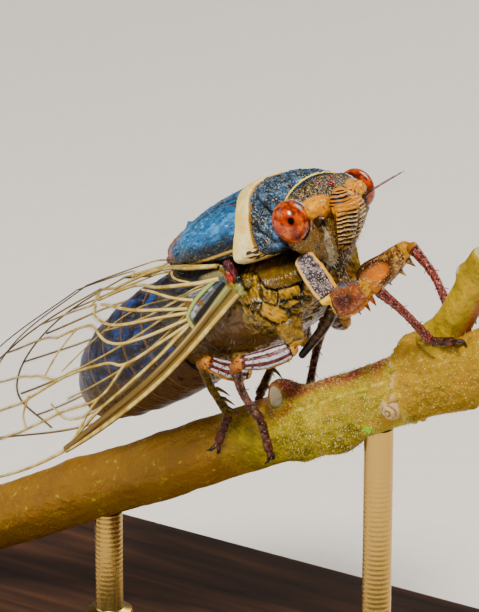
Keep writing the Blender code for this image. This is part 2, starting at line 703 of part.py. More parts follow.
def stand_base():
    """A flat rectangular plate with rounded corners and a small chamfer."""
    def outline(inset):
        pts = []
        r = BASE_CORNER - inset * 0.5
        for quarter in range(4):
            cx = (BASE_LENGTH / 2 - BASE_CORNER) * (1 if quarter in (0, 3) else -1)
            cy = (BASE_DEPTH / 2 - BASE_CORNER) * (1 if quarter in (0, 1) else -1)
            for k in range(5):
                a = math.pi / 2 * (quarter + k / 4)
                pts.append((cx + r * math.cos(a), cy + r * math.sin(a)))
        return pts
    rings = []
    shoulder = BASE_THICKNESS - BASE_CHAMFER
    for z, inset in ((0, BASE_CHAMFER), (BASE_CHAMFER / 2, 0), (shoulder, 0), (BASE_THICKNESS, 2 * BASE_CHAMFER)):
        rings.append([Vector((x, y, z)) for x, y in outline(inset)])
    return loft("stand_base", rings)


def rod(name, x):
    """A round rod from the base up to the stem."""
    stem = to_world((0.0, 0.0, TWIG_HEIGHT))
    top = stem.z + (x - stem.x) * math.tan(BODY_PITCH)
    rings = []
    for z in (BASE_THICKNESS, (BASE_THICKNESS + top) / 2, top):
        rings.append([Vector((x + ROD_RADIUS * math.cos(2 * math.pi * k / 12),
                              ROD_RADIUS * math.sin(2 * math.pi * k / 12), z)) for k in range(12)])
    return loft(name, rings)


def in_stand_frame(obj):
    """A posed millimetre copy of a piece, to cut stand pieces with."""
    copy = bpy.data.objects.new("posed", obj.data.copy())
    bpy.context.scene.collection.objects.link(copy)
    for v in copy.data.vertices:
        v.co = to_world(v.co)
    return copy


def build():
    """Make every piece, cut each clear of those before it, and finish them all."""
    stem = twig()
    shoot = side_shoot(stem)
    eyes = [ball("eye_" + word, (EYE_CENTRE.x, side * EYE_CENTRE.y, EYE_CENTRE.z), EYE_RADII, 16, 10)
            for word, side in (("left", 1), ("right", -1))]
    skull = head()
    carve(skull, *eyes)
    muzzle = face()
    carve(muzzle, skull)
    feelers = [feeler("antenna_" + word, root, tip, (skull, muzzle, *eyes)) for word, (root, tip) in FEELERS.items()]
    beak = tube("rostrum", ((3.35, 0, -5.9), (1.7, 0, -7.45), (0.1, 0, -8.6), (-2.15, 0, -9.75)), (0.42, 0.36, 0.3, 0.2),
                8, 1.0, 8, Vector((0, 1, 0)))
    carve(beak, skull, muzzle)

    collar = loft("pronotal_collar", [
        band_ring(COLLAR_REAR, 0.0), band_ring(COLLAR_REAR, 0.1, 0.18),
        band_ring(COLLAR_FRONT, 0.1, -0.18), band_ring(COLLAR_FRONT, 0.0)])
    shield = loft("pronotum", [arch_ring(*row, 2.2, 24) for row in smooth_stations((
        (0.2, -0.06, -3.2, -4.05, 4.3), (1.4, -0.18, -3.2, -4.05, 4.2), (2.5, -0.48, -3.1, -4.05, 3.9),
        (3.4, -0.95, -3.0, -4.05, 3.3), (4.0, -1.4, -2.9, -4.0, 2.4)), 8)])
    carve(shield, collar, skull, *eyes)
    wings = {}
    for word, side in (("right", 1), ("left", -1)):
        wings["fore_" + word] = forewing("forewing_" + word, side)
        wings["hind_" + word] = hindwing("hindwing_" + word, side)
    back = loft("mesonotum", [arch_ring(*row, 2.2, 24) for row in smooth_stations((
        (-7.0, -1.9, -2.5, -2.9, 1.3), (-6.3, -1.45, -2.4, -2.9, 2.2), (-5.3, -0.95, -2.4, -3.0, 3.0),
        (-3.6, -0.38, -2.5, -3.2, 3.75), (-1.7, -0.1, -2.9, -3.5, 4.15), (-0.2, -0.02, -3.1, -3.7, 4.25)), 12)])
    cross = [tube("cross", (foot, (-5.75, 0, -1.25), (-7.0, -foot[1], -2.15)), (0.3, 0.42, 0.25), 6, 1.0, 4)
             for foot in ((-4.7, 1.4, -1.1), (-4.7, -1.4, -1.1))]
    fuse(back, cross)
    carve(back, collar, *wings.values())
    chest = loft("thorax", [arch_ring(*row, 2.3, 20) for row in smooth_stations((
        (-7.0, -2.7, -5.2, -8.8, 3.9), (-5.5, -2.7, -5.1, -8.9, 4.15), (-3.5, -2.9, -5.1, -8.8, 4.3),
        (-1.0, -3.4, -5.2, -8.3, 4.3), (0.8, -4.0, -5.5, -7.4, 4.1), (2.0, -4.2, -5.6, -6.7, 3.5)), 10)])
    plates = []
    for side in (-1, 1):
        for x, z, long, high, turn, out in SIDE_PLATES:
            skin = 4.22 - 0.12 * max(0, x) ** 2 - 0.28 * max(0, -5.4 - z) ** 2
            plates.append(ball("plate", (x, side * (skin - 0.4), z), (long, 0.4 + out, high), 8, 4, turn))
    fuse(chest, plates)
    carve(chest, back, collar, shield, beak, muzzle, *wings.values())
    neck = loft("prothorax", [arch_ring(*row, 2.2, 14) for row in (
        (1.6, -4.0, -5.4, -6.5, 2.4), (2.3, -4.0, -5.2, -6.4, 2.2), (3.0, -4.2, -5.0, -6.0, 1.8))])
    carve(neck, chest, shield, skull, muzzle, beak)
    belly = abdomen()
    carve(belly, chest, back, *wings.values())

    limbs = {}
    body = (chest, neck, shield, beak, skull, muzzle, collar)
    for which in LEGS:
        hips = (*body, belly) if not which.startswith("front") else body
        limbs[which] = leg(which, hips, (stem, shoot))

    base = stand_base()
    posed_stem = in_stand_frame(stem)
    FORMS[posed_stem.name] = [posed_stem.data.copy()]
    rods = [rod("stand_rod_front", ROD_FRONT_X), rod("stand_rod_rear", ROD_REAR_X)]
    for piece in rods:
        carve(piece, posed_stem, base)
    bpy.data.objects.remove(posed_stem, do_unlink=True)

    finish(stem, material("twig_bark", "8C8A3A", 0.6))
    finish(shoot, material("twig_bark", "8C8A3A", 0.6))
    for eye in eyes:
        finish(eye, material("eye_red", "C8401A", 0.2))
    finish(skull, material("head_shell", "6A5A48", 0.45))
    finish(muzzle, material("face_shell", "C87A22", 0.45))
    finish(beak, material("leg_shell", "7A3B2C", 0.4))
    for piece in feelers:
        finish(piece, material("leg_shell", "7A3B2C", 0.4))
    finish(shield, material("back_shell", "2C4A63", 0.4))
    finish(back, material("back_shell", "2C4A63", 0.4))
    finish(collar, material("collar_shell", "DCC48E", 0.45))
    finish(chest, material("side_shell", "8A7430", 0.5))
    finish(neck, material("side_shell", "8A7430", 0.5))
    finish(belly, material("belly_shell", "5A4636", 0.5))
    for piece in wings.values():
        finish(piece, material("wing_membrane", "B9A878", 0.3))
    for pieces in limbs.values():
        for piece in pieces:
            finish(piece, material("leg_shell", "7A3B2C", 0.4))
    finish(base, material("dark_wood", "3A2418", 0.5), turned=False)
    for piece in rods:
        finish(piece, material("brass", "B08D4A", 0.3, 1.0), turned=False)


build()
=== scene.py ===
"""The finish of a life-size model of a cicada on a cut twig, held over a small display base.

Sizes are in millimetres. The insect is described in its own frame, as its solids are: x runs
forward along the body, y to its left, z out of its back, from the top of the pale collar.
"""
import math

import bmesh
import bpy
import numpy as np
from mathutils import Matrix, Vector, noise


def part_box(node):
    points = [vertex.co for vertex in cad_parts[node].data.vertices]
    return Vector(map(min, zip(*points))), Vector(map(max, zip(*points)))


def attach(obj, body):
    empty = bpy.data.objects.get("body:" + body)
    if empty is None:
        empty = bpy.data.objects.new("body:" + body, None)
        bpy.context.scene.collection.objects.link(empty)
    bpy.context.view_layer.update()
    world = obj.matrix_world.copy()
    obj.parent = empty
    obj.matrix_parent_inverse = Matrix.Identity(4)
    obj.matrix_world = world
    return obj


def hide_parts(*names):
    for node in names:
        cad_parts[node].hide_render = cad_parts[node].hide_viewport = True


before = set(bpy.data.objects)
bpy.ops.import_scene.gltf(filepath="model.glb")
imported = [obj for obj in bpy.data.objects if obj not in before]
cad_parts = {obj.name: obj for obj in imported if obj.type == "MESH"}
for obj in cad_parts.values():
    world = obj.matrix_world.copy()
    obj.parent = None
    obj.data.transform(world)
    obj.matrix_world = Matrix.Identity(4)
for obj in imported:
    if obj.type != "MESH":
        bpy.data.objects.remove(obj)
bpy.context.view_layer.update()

# The display base
# A small plate of dark stained walnut with rounded corners and a softly eased edge. It was sawn,
# planed, routed round the edge and rubbed with satin oil.
MM = 0.001
BASE_LENGTH = 46.0
BASE_DEPTH = 26.0
BASE_THICKNESS = 3.5
BASE_CORNER = 3.0
BASE_EASE = 0.7
FOOT_EASE = 0.35


def linear(hex_code):
    """Linear colour of an sRGB hex code."""
    parts = [int(hex_code[i:i + 2], 16) / 255 for i in (0, 2, 4)]
    return [c / 12.92 if c < 0.04045 else ((c + 0.055) / 1.055) ** 2.4 for c in parts] + [1.0]


def add(tree, kind, settings=None, links=None, stops=None):
    """One node with its settings; its inputs are linked to sockets or first outputs, or set to values."""
    node = tree.nodes.new(kind)
    for name, value in (settings or {}).items():
        setattr(node, name, value)
    if stops:
        ramp = node.color_ramp
        while len(ramp.elements) < len(stops):
            ramp.elements.new(0.5)
        for element, (place, hex_code) in zip(ramp.elements, stops):
            element.position = place
            element.color = linear(hex_code)
    for name, value in (links or {}).items():
        value = value.outputs[0] if isinstance(value, bpy.types.Node) else value
        if isinstance(value, bpy.types.NodeSocket):
            tree.links.new(value, node.inputs[name])
        else:
            node.inputs[name].default_value = value
    return node


def blank_finish(name, settings):
    """A new material, its node tree and its Principled shader with plain settings."""
    finish = bpy.data.materials.new(name)
    finish.use_nodes = True
    tree = finish.node_tree
    shader = tree.nodes["Principled BSDF"]
    for socket, value in settings.items():
        shader.inputs[socket].default_value = value
    return finish, tree, shader


def placed(name, data):
    """A new object in the scene that holds the data."""
    piece = bpy.data.objects.new(name, data)
    bpy.context.scene.collection.objects.link(piece)
    return piece


def set_marks(mesh, marks):
    """Give each point of a mesh its value of each mark."""
    for key, value in marks.items():
        mesh.attributes.new(key, "FLOAT", "POINT").data.foreach_set("value", np.array(value, np.float32))


def grid_mesh(name, rows, marks=None, ends=(True, True), around=True):
    """A closed skin over rows of points, in millimetres; each mark becomes a point attribute.

    An end is closed by a fan, or as the edge of a thin sheet is, from its top half to its lower half.
    """
    rows = np.asarray(rows, float)
    count, width = rows.shape[:2]
    points = rows.reshape(-1, 3)
    index = np.arange(count * width).reshape(count, width)
    turn = np.roll(index, -1, axis=1) if around else index[:, 1:]
    here = index if around else index[:, :-1]
    quads = np.stack([here[:-1], turn[:-1], turn[1:], here[1:]], axis=-1).reshape(-1, 4)
    faces = [tuple(int(i) for i in q) for q in quads]
    values = {key: np.asarray(v, float).reshape(-1) for key, v in (marks or {}).items()}
    for wanted, row in zip(ends, (0, count - 1)):
        ring = [int(i) for i in index[row]]
        if wanted == "sheet":
            for j in range(width // 2 - 1):
                quad = (ring[j], ring[j + 1], ring[-2 - j], ring[-1 - j])
                faces.append(quad[::-1] if row == 0 else quad)
        elif wanted:
            hub = len(points)
            points = np.vstack([points, rows[row].mean(axis=0)])
            for key, v in values.items():
                values[key] = np.append(v, v[row * width:(row + 1) * width].mean())
            for a, b in zip(ring, ring[1:] + ring[:1]):
                faces.append((b, a, hub) if row == 0 else (a, b, hub))
    mesh = bpy.data.meshes.new(name)
    mesh.from_pydata((points * MM).tolist(), [], faces)
    set_marks(mesh, values)
    mesh.shade_smooth()
    mesh["rows"], mesh["width"] = count, width
    piece = placed(name, mesh)
    if ends[0] and ends[1] and around:
        bm = bmesh.new()
        bm.from_mesh(mesh)
        if bm.calc_volume(signed=True) < 0:
            bmesh.ops.reverse_faces(bm, faces=bm.faces)
        bm.to_mesh(mesh)
        bm.free()
    return piece


def settle(piece, finish, slot, *nodes):
    """Give a finished piece its material and its body, and hide the solids it stands for; the slot is not
    used.
    """
    piece.data.materials.clear()
    piece.data.materials.append(finish)
    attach(piece, "root")
    if nodes:
        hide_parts(*nodes)


def walnut():
    """Stained walnut, planed and oiled: dark brown with fine darker grain, satin."""
    finish, tree, shader = blank_finish("oiled_walnut", {"Roughness": 0.42, "Specular IOR Level": 0.4})
    place = add(tree, "ShaderNodeTexCoord").outputs["Object"]
    along = add(tree, "ShaderNodeMapping", None, {"Vector": place, "Scale": (60, 700, 700)}).outputs[0]
    grain = add(tree, "ShaderNodeTexNoise", None, {"Vector": along, "Scale": 1.0, "Detail": 6.0,
        "Distortion": 0.6})
    tone = add(tree, "ShaderNodeValToRGB", None, {"Fac": grain}, ((0.3, "1E120B"), (0.5, "3A2417"),
        (0.7, "54351F")))
    tree.links.new(tone.outputs[0], shader.inputs["Base Color"])
    bump = add(tree, "ShaderNodeBump", None, {"Height": grain, "Strength": 0.15, "Distance": 0.0002})
    tree.links.new(bump.outputs[0], shader.inputs["Normal"])
    return finish


def board_outline(inset):
    """The plate's outline with its round corners, drawn in by the inset."""
    outline = []
    reach = BASE_CORNER - inset
    for quarter in range(4):
        cx = (BASE_LENGTH / 2 - BASE_CORNER) * (1 if quarter in (0, 3) else -1)
        cy = (BASE_DEPTH / 2 - BASE_CORNER) * (1 if quarter in (0, 1) else -1)
        for k in range(13):
            turn = math.pi / 2 * (quarter + k / 12)
            outline.append((cx + reach * math.cos(turn), cy + reach * math.sin(turn)))
    return outline


board_rows = []
for low, high, step in ((0.0, FOOT_EASE, 4), (BASE_THICKNESS - BASE_EASE, BASE_THICKNESS, 7)):
    for i in range(step + 1):
        turn = math.pi / 2 * i / step
        ease = high - low
        inset = ease * (1 - math.sin(turn)) if low == 0.0 else ease * (1 - math.cos(turn))
        rise = ease * (1 - math.cos(turn)) if low == 0.0 else ease * math.sin(turn)
        board_rows.append([(x, y, low + rise) for x, y in board_outline(inset)])
board = grid_mesh("base_plate", board_rows)
board.data.set_sharp_from_angle(angle=math.radians(50))
settle(board, walnut(), "dark_wood", "stand_base")

# The two rods
# Turned brass rods, each set in a small foot ring on the plate and reaching up to the twig.
# The turning leaves faint rings in the polish.
ROD_RADIUS = 0.8
ROD_PLACES = (("stand_rod_front", 9.5), ("stand_rod_rear", -8.5))
FOOT_RADIUS = 1.35
FOOT_HEIGHT = 0.45


def brass():
    """Lathe-turned brass, polished: warm yellow metal with faint turning rings."""
    finish, tree, shader = blank_finish("turned_brass", {"Metallic": 1.0, "Roughness": 0.28,
        "Base Color": linear("C9A256")})
    place = add(tree, "ShaderNodeTexCoord").outputs["Object"]
    rings = add(tree, "ShaderNodeTexWave", {"bands_direction": "Z"}, {"Vector": place, "Scale": 1100.0,
        "Distortion": 0.4})
    bump = add(tree, "ShaderNodeBump", None, {"Height": rings.outputs[1], "Strength": 0.12,
        "Distance": 0.00004})
    tree.links.new(bump.outputs[0], shader.inputs["Normal"])
    return finish


rod_finish = brass()
for rod_node, rod_x in ROD_PLACES:
    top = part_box(rod_node)[1].z / MM + 0.12
    rod_rows = []
    profile = ((FOOT_RADIUS - 0.1, BASE_THICKNESS + 0.02), (FOOT_RADIUS, BASE_THICKNESS + 0.12),
        (FOOT_RADIUS, BASE_THICKNESS + FOOT_HEIGHT - 0.12),
        (FOOT_RADIUS - 0.12, BASE_THICKNESS + FOOT_HEIGHT),
        (ROD_RADIUS + 0.1, BASE_THICKNESS + FOOT_HEIGHT + 0.03),
        (ROD_RADIUS, BASE_THICKNESS + FOOT_HEIGHT + 0.15), (ROD_RADIUS, top - 0.2), (ROD_RADIUS, top))
    for radius, height in profile:
        turns = [2 * math.pi * k / 48 for k in range(48)]
        rod_rows.append([(rod_x + radius * math.cos(t), radius * math.sin(t), height) for t in turns])
    rod = grid_mesh(rod_node.replace("stand_", ""), rod_rows)
    rod.data.set_sharp_from_angle(angle=math.radians(50))
    settle(rod, rod_finish, "brass", rod_node)

# The twig
# A cut length of living green stem that the insect grips: rounded, slightly ridged bark with pale
# raised dots, an oval leaf scar, a knot of an old bud, a swollen callus and a fork.
PITCH = math.radians(27)
COLLAR_TOP = np.array((1.95, 0.0, 31.8))
TWIG_HEIGHT = -13.1
TWIG_RADIUS = 1.82
TWIG_REAR = -28.3
TWIG_FRONT = 10.1
# Along the twig, degrees round from its top to the insect's right, height, length, width.
TWIG_SWELLINGS = ((-3.7, 18, 0.95, 0.75, 28), (3.6, 108, 0.4, 0.6, 22), (5.0, 5, 0.75, 0.9, 40),
    (6.4, 0, 0.6, 1.3, 35), (-1.4, 158, 0.55, 1.3, 50), (-3.9, 168, 0.35, 1.0, 45),
    (-6.0, 60, 0.12, 1.2, 60), (1.35, 132, 0.25, 0.6, 25), (7.5, 150, 0.3, 1.2, 60),
    (-14.0, 100, 0.2, 1.5, 70), (-20.0, 20, 0.15, 1.5, 60))
LEAF_SCAR = (-3.7, 38)
KNOT = (3.6, 108)
BUD = (1.35, 132)
CALLUS_START = 4.1
LIP = 0.25                      # rounding of the cut ends
CUT_RINGS = 15
CUT_REACH = 0.96
GROWTH_LINES = 6
PITH_EDGE = (0.7, 0.8)


def to_world(points):
    """From the insect's frame to the stand's, in millimetres."""
    p = np.asarray(points, float)
    x = p[..., 0] * math.cos(PITCH) - p[..., 2] * math.sin(PITCH)
    z = p[..., 0] * math.sin(PITCH) + p[..., 2] * math.cos(PITCH)
    return np.stack([x, p[..., 1], z], axis=-1) + COLLAR_TOP


def grain_at(points, size, seed=0.0):
    """Smooth random height at each point, about -1 to 1, with lumps of the given size."""
    flat = np.asarray(points, float).reshape(-1, 3) / size + seed
    out = np.fromiter((noise.noise(Vector(p)) for p in flat), float, len(flat))
    return out.reshape(np.asarray(points).shape[:-1])


def mound(distance, width):
    """One at no distance, falling smoothly to nothing."""
    return np.exp(-(distance / width) ** 2)


def unit(run):
    """One direction, or one for each row, brought to a length of one."""
    if run.ndim == 1:
        return run / np.linalg.norm(run)
    return run / np.linalg.norm(run, axis=-1, keepdims=True)


def full_turn(count):
    """Angles all round, evenly spread."""
    return np.linspace(0, 2 * np.pi, count, endpoint=False)


def step_up(value, low, high):
    """Nought below low, one above high, smooth between."""
    t = np.clip((value - low) / (high - low), 0, 1)
    return t * t * (3 - 2 * t)


def insect_space(tree):
    """Object coordinates turned and scaled to millimetres in the insect's frame."""
    place = add(tree, "ShaderNodeTexCoord").outputs["Object"]
    turn = Matrix.Rotation(PITCH, 3, "Y")
    shift = turn @ Vector(-COLLAR_TOP)
    return add(tree, "ShaderNodeMapping", None, {"Vector": place, "Location": shift,
        "Rotation": (0, PITCH, 0), "Scale": (1000, 1000, 1000)}).outputs[0]


def painted(tree, place, ground, layers):
    """A colour socket: a ground ramp over a noise, then layers laid on through smooth masks.

    A layer is a mark's name, or a noise or bloom and its size in millimetres, or facing and a
    direction, painting a highlight or shade on the sides that face that way. Where its mask starts
    and ends and its colour follow.
    """
    size, stops = ground
    base = add(tree, "ShaderNodeTexNoise", None, {"Vector": place, "Scale": 1 / size, "Detail": 4.0,
        "Roughness": 0.6})
    paint = add(tree, "ShaderNodeValToRGB", None, {"Fac": base}, stops).outputs[0]
    for *pattern, size, low, high, hex_code in layers:
        if not pattern:
            value = add(tree, "ShaderNodeAttribute", {"attribute_name": size}).outputs["Fac"]
        elif pattern == ["facing"]:
            out = add(tree, "ShaderNodeTexCoord").outputs["Normal"]
            value = add(tree, "ShaderNodeVectorMath", {"operation": "DOT_PRODUCT"},
                {0: out, 1: size}).outputs["Value"]
        elif pattern == ["bloom"]:
            value = add(tree, "ShaderNodeTexNoise", None, {"Vector": place, "Scale": 1 / size,
                "Detail": 1.0, "Distortion": 0.8}).outputs[0]
        else:
            shift = add(tree, "ShaderNodeMapping", None, {"Vector": place, "Location": (size * 9, 3, 7)})
            value = add(tree, "ShaderNodeTexNoise", None, {"Vector": shift, "Scale": 1 / size,
                "Detail": 3.0, "Roughness": 0.65}).outputs[0]
        mask = add(tree, "ShaderNodeMapRange", {"interpolation_type": "SMOOTHSTEP"},
            {"Value": value, "From Min": low, "From Max": high})
        paint = add(tree, "ShaderNodeMix", {"data_type": "RGBA"},
            {0: mask, 6: paint, 7: linear(hex_code)}).outputs[2]
    return paint


def relief(tree, shader, place, layers):
    """Fine bump from stacked patterns: pattern, size and height in millimetres, and detail."""
    normal = None
    for pattern, size, height, detail in layers:
        if pattern == "cells":
            value = add(tree, "ShaderNodeTexVoronoi", {"feature": "SMOOTH_F1"},
                {"Vector": place, "Scale": 1 / size, "Smoothness": 0.4}).outputs["Distance"]
        else:
            value = add(tree, "ShaderNodeTexNoise", None, {"Vector": place, "Scale": 1 / size,
                "Detail": detail}).outputs[0]
        links = {"Height": value, "Distance": height * MM, "Strength": 1.0}
        if normal:
            links["Normal"] = normal
        normal = add(tree, "ShaderNodeBump", None, links).outputs[0]
    tree.links.new(normal, shader.inputs["Normal"])


def painted_finish(name, settings, ground, layers, bumps=()):
    """A finish painted in the insect's frame: its shader settings, ground, layers and fine bumps."""
    finish, tree, shader = blank_finish(name, settings)
    place = insect_space(tree)
    tree.links.new(painted(tree, place, ground, layers), shader.inputs["Base Color"])
    if bumps:
        relief(tree, shader, place, bumps)
    return finish


def skinned(name, made, finish, slot, *nodes):
    """A finished piece from its rows of points and their marks."""
    points, marks = made
    piece = grid_mesh(name, points, marks)
    settle(piece, finish, slot, *nodes)
    return piece


def bark():
    """Young green bark: waxy olive skin blushed red on its ridges, pale corky dots, a painted highlight on
    its crest.
    """
    settings = {"Roughness": 0.45, "Specular IOR Level": 0.22, "Subsurface Weight": 0.08,
        "Subsurface Scale": 0.0006}
    ground = (1.1, ((0.32, "6C6400"), (0.5, "968600"), (0.66, "BCA40C")))
    layers = (("fibre", 0.2, 1.8, "C0B018"), ("noise", 2.2, 0.5, 0.68, "B08A1A"),
        ("shade", 0.0, 1.0, "8A5A0E"), ("callus", 0.0, 1.5, "A07010"), ("blush", 0.1, 0.8, "94283A"),
        ("torn", 0.3, 1.2, "C89468"), ("noise", 0.45, 0.6, 0.76, "C4B020"), ("ridge", 0.3, 1.2, "D8C850"),
        ("scar", 0.35, 0.75, "C9B998"), ("knot", 0.3, 0.9, "C8A870"), ("pit", 0.2, 1.2, "5A3C18"),
        ("bud", 0.3, 0.8, "7CAC00"), ("cut", 0.4, 0.6, "B8B06A"), ("growth", 0.3, 1.2, "8A7C38"),
        ("pith", 0.3, 0.8, "DCD2A8"))
    return painted_finish("green_bark", settings, ground, layers,
        (("noise", 0.35, 0.14, 6.0), ("cells", 0.16, 0.03, 0)))


def cut_faced(along, both):
    """Rows along a shoot plus rows closing in over its cut ends, and how far in each one lies."""
    front = np.linspace(0, CUT_REACH, CUT_RINGS)[1:]
    rear = front[::-1] if both else front[:0]
    inward = np.concatenate([rear, 0 * along, front])[:, None]
    return np.concatenate([along[0] + 0 * rear, along, along[-1] + 0 * front]), inward


def cut_marks(inward, rounding, waver):
    """The marks of a cut face: its wood, growth lines and pith, inside the bark's rounded edge."""
    lines = 0.5 + 0.5 * np.cos(2 * np.pi * (inward * GROWTH_LINES + 0.25 * waver))
    wood = np.maximum(1 - step_up(rounding, 0.0, 0.35), step_up(inward, 0, 0.02))
    return {"cut": wood, "growth": lines * step_up(inward, 0.02, 0.1),
        "pith": step_up(inward + 0.05 * waver, *PITH_EDGE)}


def twig_rows():
    """The stem's skin, row by row from its rear cut to its front cut, with its marks."""
    along = np.concatenate([TWIG_REAR + LIP * (1 - np.cos(np.linspace(0, np.pi / 2, 5)))[:-1],
        np.linspace(TWIG_REAR + LIP, -8.0, 110)[:-1], np.linspace(-8.0, TWIG_FRONT - LIP, 250),
        TWIG_FRONT - LIP + LIP * np.sin(np.linspace(0, np.pi / 2, 5))[1:]])
    along, inward = cut_faced(along, True)
    turn = np.linspace(0, 360, 150, endpoint=False)
    x, t = np.meshgrid(along, turn, indexing="ij")
    axis = np.stack([x, -np.sin(np.radians(t)), np.cos(np.radians(t))], axis=-1)
    ridge = np.cos(np.radians(5 * (t - 20 + 3 * np.sin(x * 0.5))))
    radius = TWIG_RADIUS + 0.05 * ridge
    for at, round_at, height, length, width in TWIG_SWELLINGS:
        apart = (t - round_at + 180) % 360 - 180
        radius = radius + height * np.exp(-((x - at) / length) ** 2 - (apart / width) ** 2)

    def spot(at, round_at):
        apart = np.radians((t - round_at + 180) % 360 - 180) * TWIG_RADIUS
        return x - at, apart

    def away(at, round_at, stretch=1.0):
        dx, dy = spot(at, round_at)
        return np.hypot(dx / stretch, dy)

    coarse = grain_at(axis * (1, 1.6, 1.6), 1.3, 3.0)
    fine = grain_at(axis * (1, 1.8, 1.8), 0.34, 11.0)
    fibre = grain_at(axis * (0.22, 2.4, 2.4), 0.42, 15.0)
    radius = radius + 0.06 * coarse + 0.022 * fine + 0.03 * fibre
    edge = x - CALLUS_START - 0.25 * np.sin(np.radians(t * 2)) - 0.2 * coarse
    callus = step_up(edge, -0.15, 0.5)
    torn = mound(edge + 0.1 * fine, 0.13) * (0.3 + 0.9 * step_up(fibre, -0.3, 0.2))
    radius = radius + 0.15 * torn - 0.05 * mound(edge + 0.28, 0.1) + 0.06 * callus * (fine + fibre)
    scar_off = away(*LEAF_SCAR, 1.15)
    scar = 1 - step_up(scar_off, 0.32, 0.42)
    radius = radius + 0.10 * mound(scar_off - 0.45, 0.1) - 0.10 * scar
    knot_off = away(*KNOT)
    curl = np.cos(knot_off * 27 + 1.6 * fine + 0.8 * fibre)
    knot = 1 - step_up(knot_off + 0.2 * fine, 0.5, 0.66)
    pit = step_up(-curl, 0.1, 0.9) * knot * (0.5 + 0.5 * step_up(fibre, -0.3, 0.1))
    radius = radius - 0.15 * torn * knot + 0.3 * mound(knot_off, 0.5) + 0.09 * knot * curl
    bud_off = away(*BUD, 1.5)
    bud = 1 - step_up(bud_off, 0.22, 0.32)
    radius = radius + 0.24 * mound(bud_off, 0.2)
    crest = mound((t - 62 + 180) % 360 - 180, 5)
    radius = radius + 0.04 * crest * (1 - callus)
    ends = np.minimum((x - TWIG_REAR) / LIP, (TWIG_FRONT - x) / LIP).clip(0, 1)
    radius = (radius - LIP * (1 - np.sqrt(1 - (1 - ends) ** 2)) * 0.9) * (1 - inward)
    top = step_up(np.cos(np.radians(t - 8)), 0.7, 0.98)
    marks = {"blush": top * (0.55 + 0.5 * coarse) * step_up(x, -9, -5) * (1 - 0.6 * callus),
        "shade": (1 - step_up(x, -9.5, -4.5)) * 0.75 + mound(scar_off - 0.75, 0.25) * step_up(90 - t, 0,
        30), "fibre": step_up(fibre, 0.0, 0.35) * step_up(x, -5, -3), "torn": torn * (1 - knot),
        "callus": callus * 0.85, "scar": scar, "knot": knot, "pit": pit, "bud": bud,
        # The ridge mark paints a pale line along the raised crest: a painted highlight where the crest
        # catches the light.
        "ridge": crest * (1 - callus) * step_up(x, -4, -2) * (0.7 + 0.6 * fine),
        "dots": step_up(x, -5.5, -3) * (1 - 0.65 * callus) * (1 - scar) * (1 - knot),
        **cut_marks(inward, ends, fine)}
    points = np.stack([x, -radius * np.sin(np.radians(t)), TWIG_HEIGHT + radius * np.cos(np.radians(t))],
        axis=-1)
    return to_world(points), marks


stem_points, stem_marks = twig_rows()
bark_finish = bark()
stem = grid_mesh("stem", stem_points, stem_marks)
settle(stem, bark_finish, "twig", "perch_stem")

# The side shoot
# The younger shoot that forks up from the stem, with a raised bud scar on its flank.
SHOOT_FOOT = np.array((6.9, 0.0, -11.45))
SHOOT_TIP = np.array((11.9, 0.0, -7.88))
SHOOT_RADIUS = 0.98
SHOOT_SCAR = (10.2, -0.3, -8.25)


def shoot_rows():
    """The shoot's skin from inside the stem to its cut tip."""
    aim = unit(SHOOT_TIP - SHOOT_FOOT)
    length = np.linalg.norm(SHOOT_TIP - SHOOT_FOOT)
    side = np.array((0.0, 1.0, 0.0))
    rise = np.cross(side, aim)
    along = np.concatenate([np.linspace(0, length - LIP, 80),
        length - LIP + LIP * np.sin(np.linspace(0, np.pi / 2, 5))[1:]])
    along, inward = cut_faced(along, False)
    turn = full_turn(72)
    s, t = np.meshgrid(along, turn, indexing="ij")
    out = np.cos(t)[..., None] * rise + np.sin(t)[..., None] * side
    axis = SHOOT_FOOT + s[..., None] * aim
    rough = grain_at((axis + out) * (1, 1.5, 1), 0.8, 5.0)
    fine = grain_at(axis + out, 0.3, 9.0)
    radius = SHOOT_RADIUS + 0.5 * np.exp(-(s / 0.9) ** 2) + 0.03 * np.cos(5 * t) + 0.05 * rough + 0.015 * fine
    points = axis + radius[..., None] * out
    off = np.linalg.norm(points - np.array(SHOOT_SCAR) - (0, -0.25, 0.25), axis=-1)
    radius = radius + 0.32 * mound(off, 0.42) - 0.14 * mound(off, 0.14)
    ends = ((length - s) / LIP).clip(0, 1)
    radius = (radius - LIP * (1 - np.sqrt(1 - (1 - ends) ** 2)) * 0.9) * (1 - inward)
    points = axis + radius[..., None] * out
    marks = {"callus": 0.55 + 0 * s, "scar": mound(off, 0.3), "blush": 0.5 * step_up(np.cos(t), 0.6, 0.95),
        "dots": 0.35 + 0 * s, **cut_marks(inward, ends, fine)}
    return to_world(points), marks


skinned("side_shoot", shoot_rows(), bark_finish, "twig", "perch_side_shoot")

# Corky dots and down on the twig
# Raised pale pores and a thin short down grow out of the young bark, thickest along its top.
DOT_RADIUS = 0.031
DOWN_LENGTH = 0.22
DOWN_THICKNESS = 0.011
PATCH = 0.003


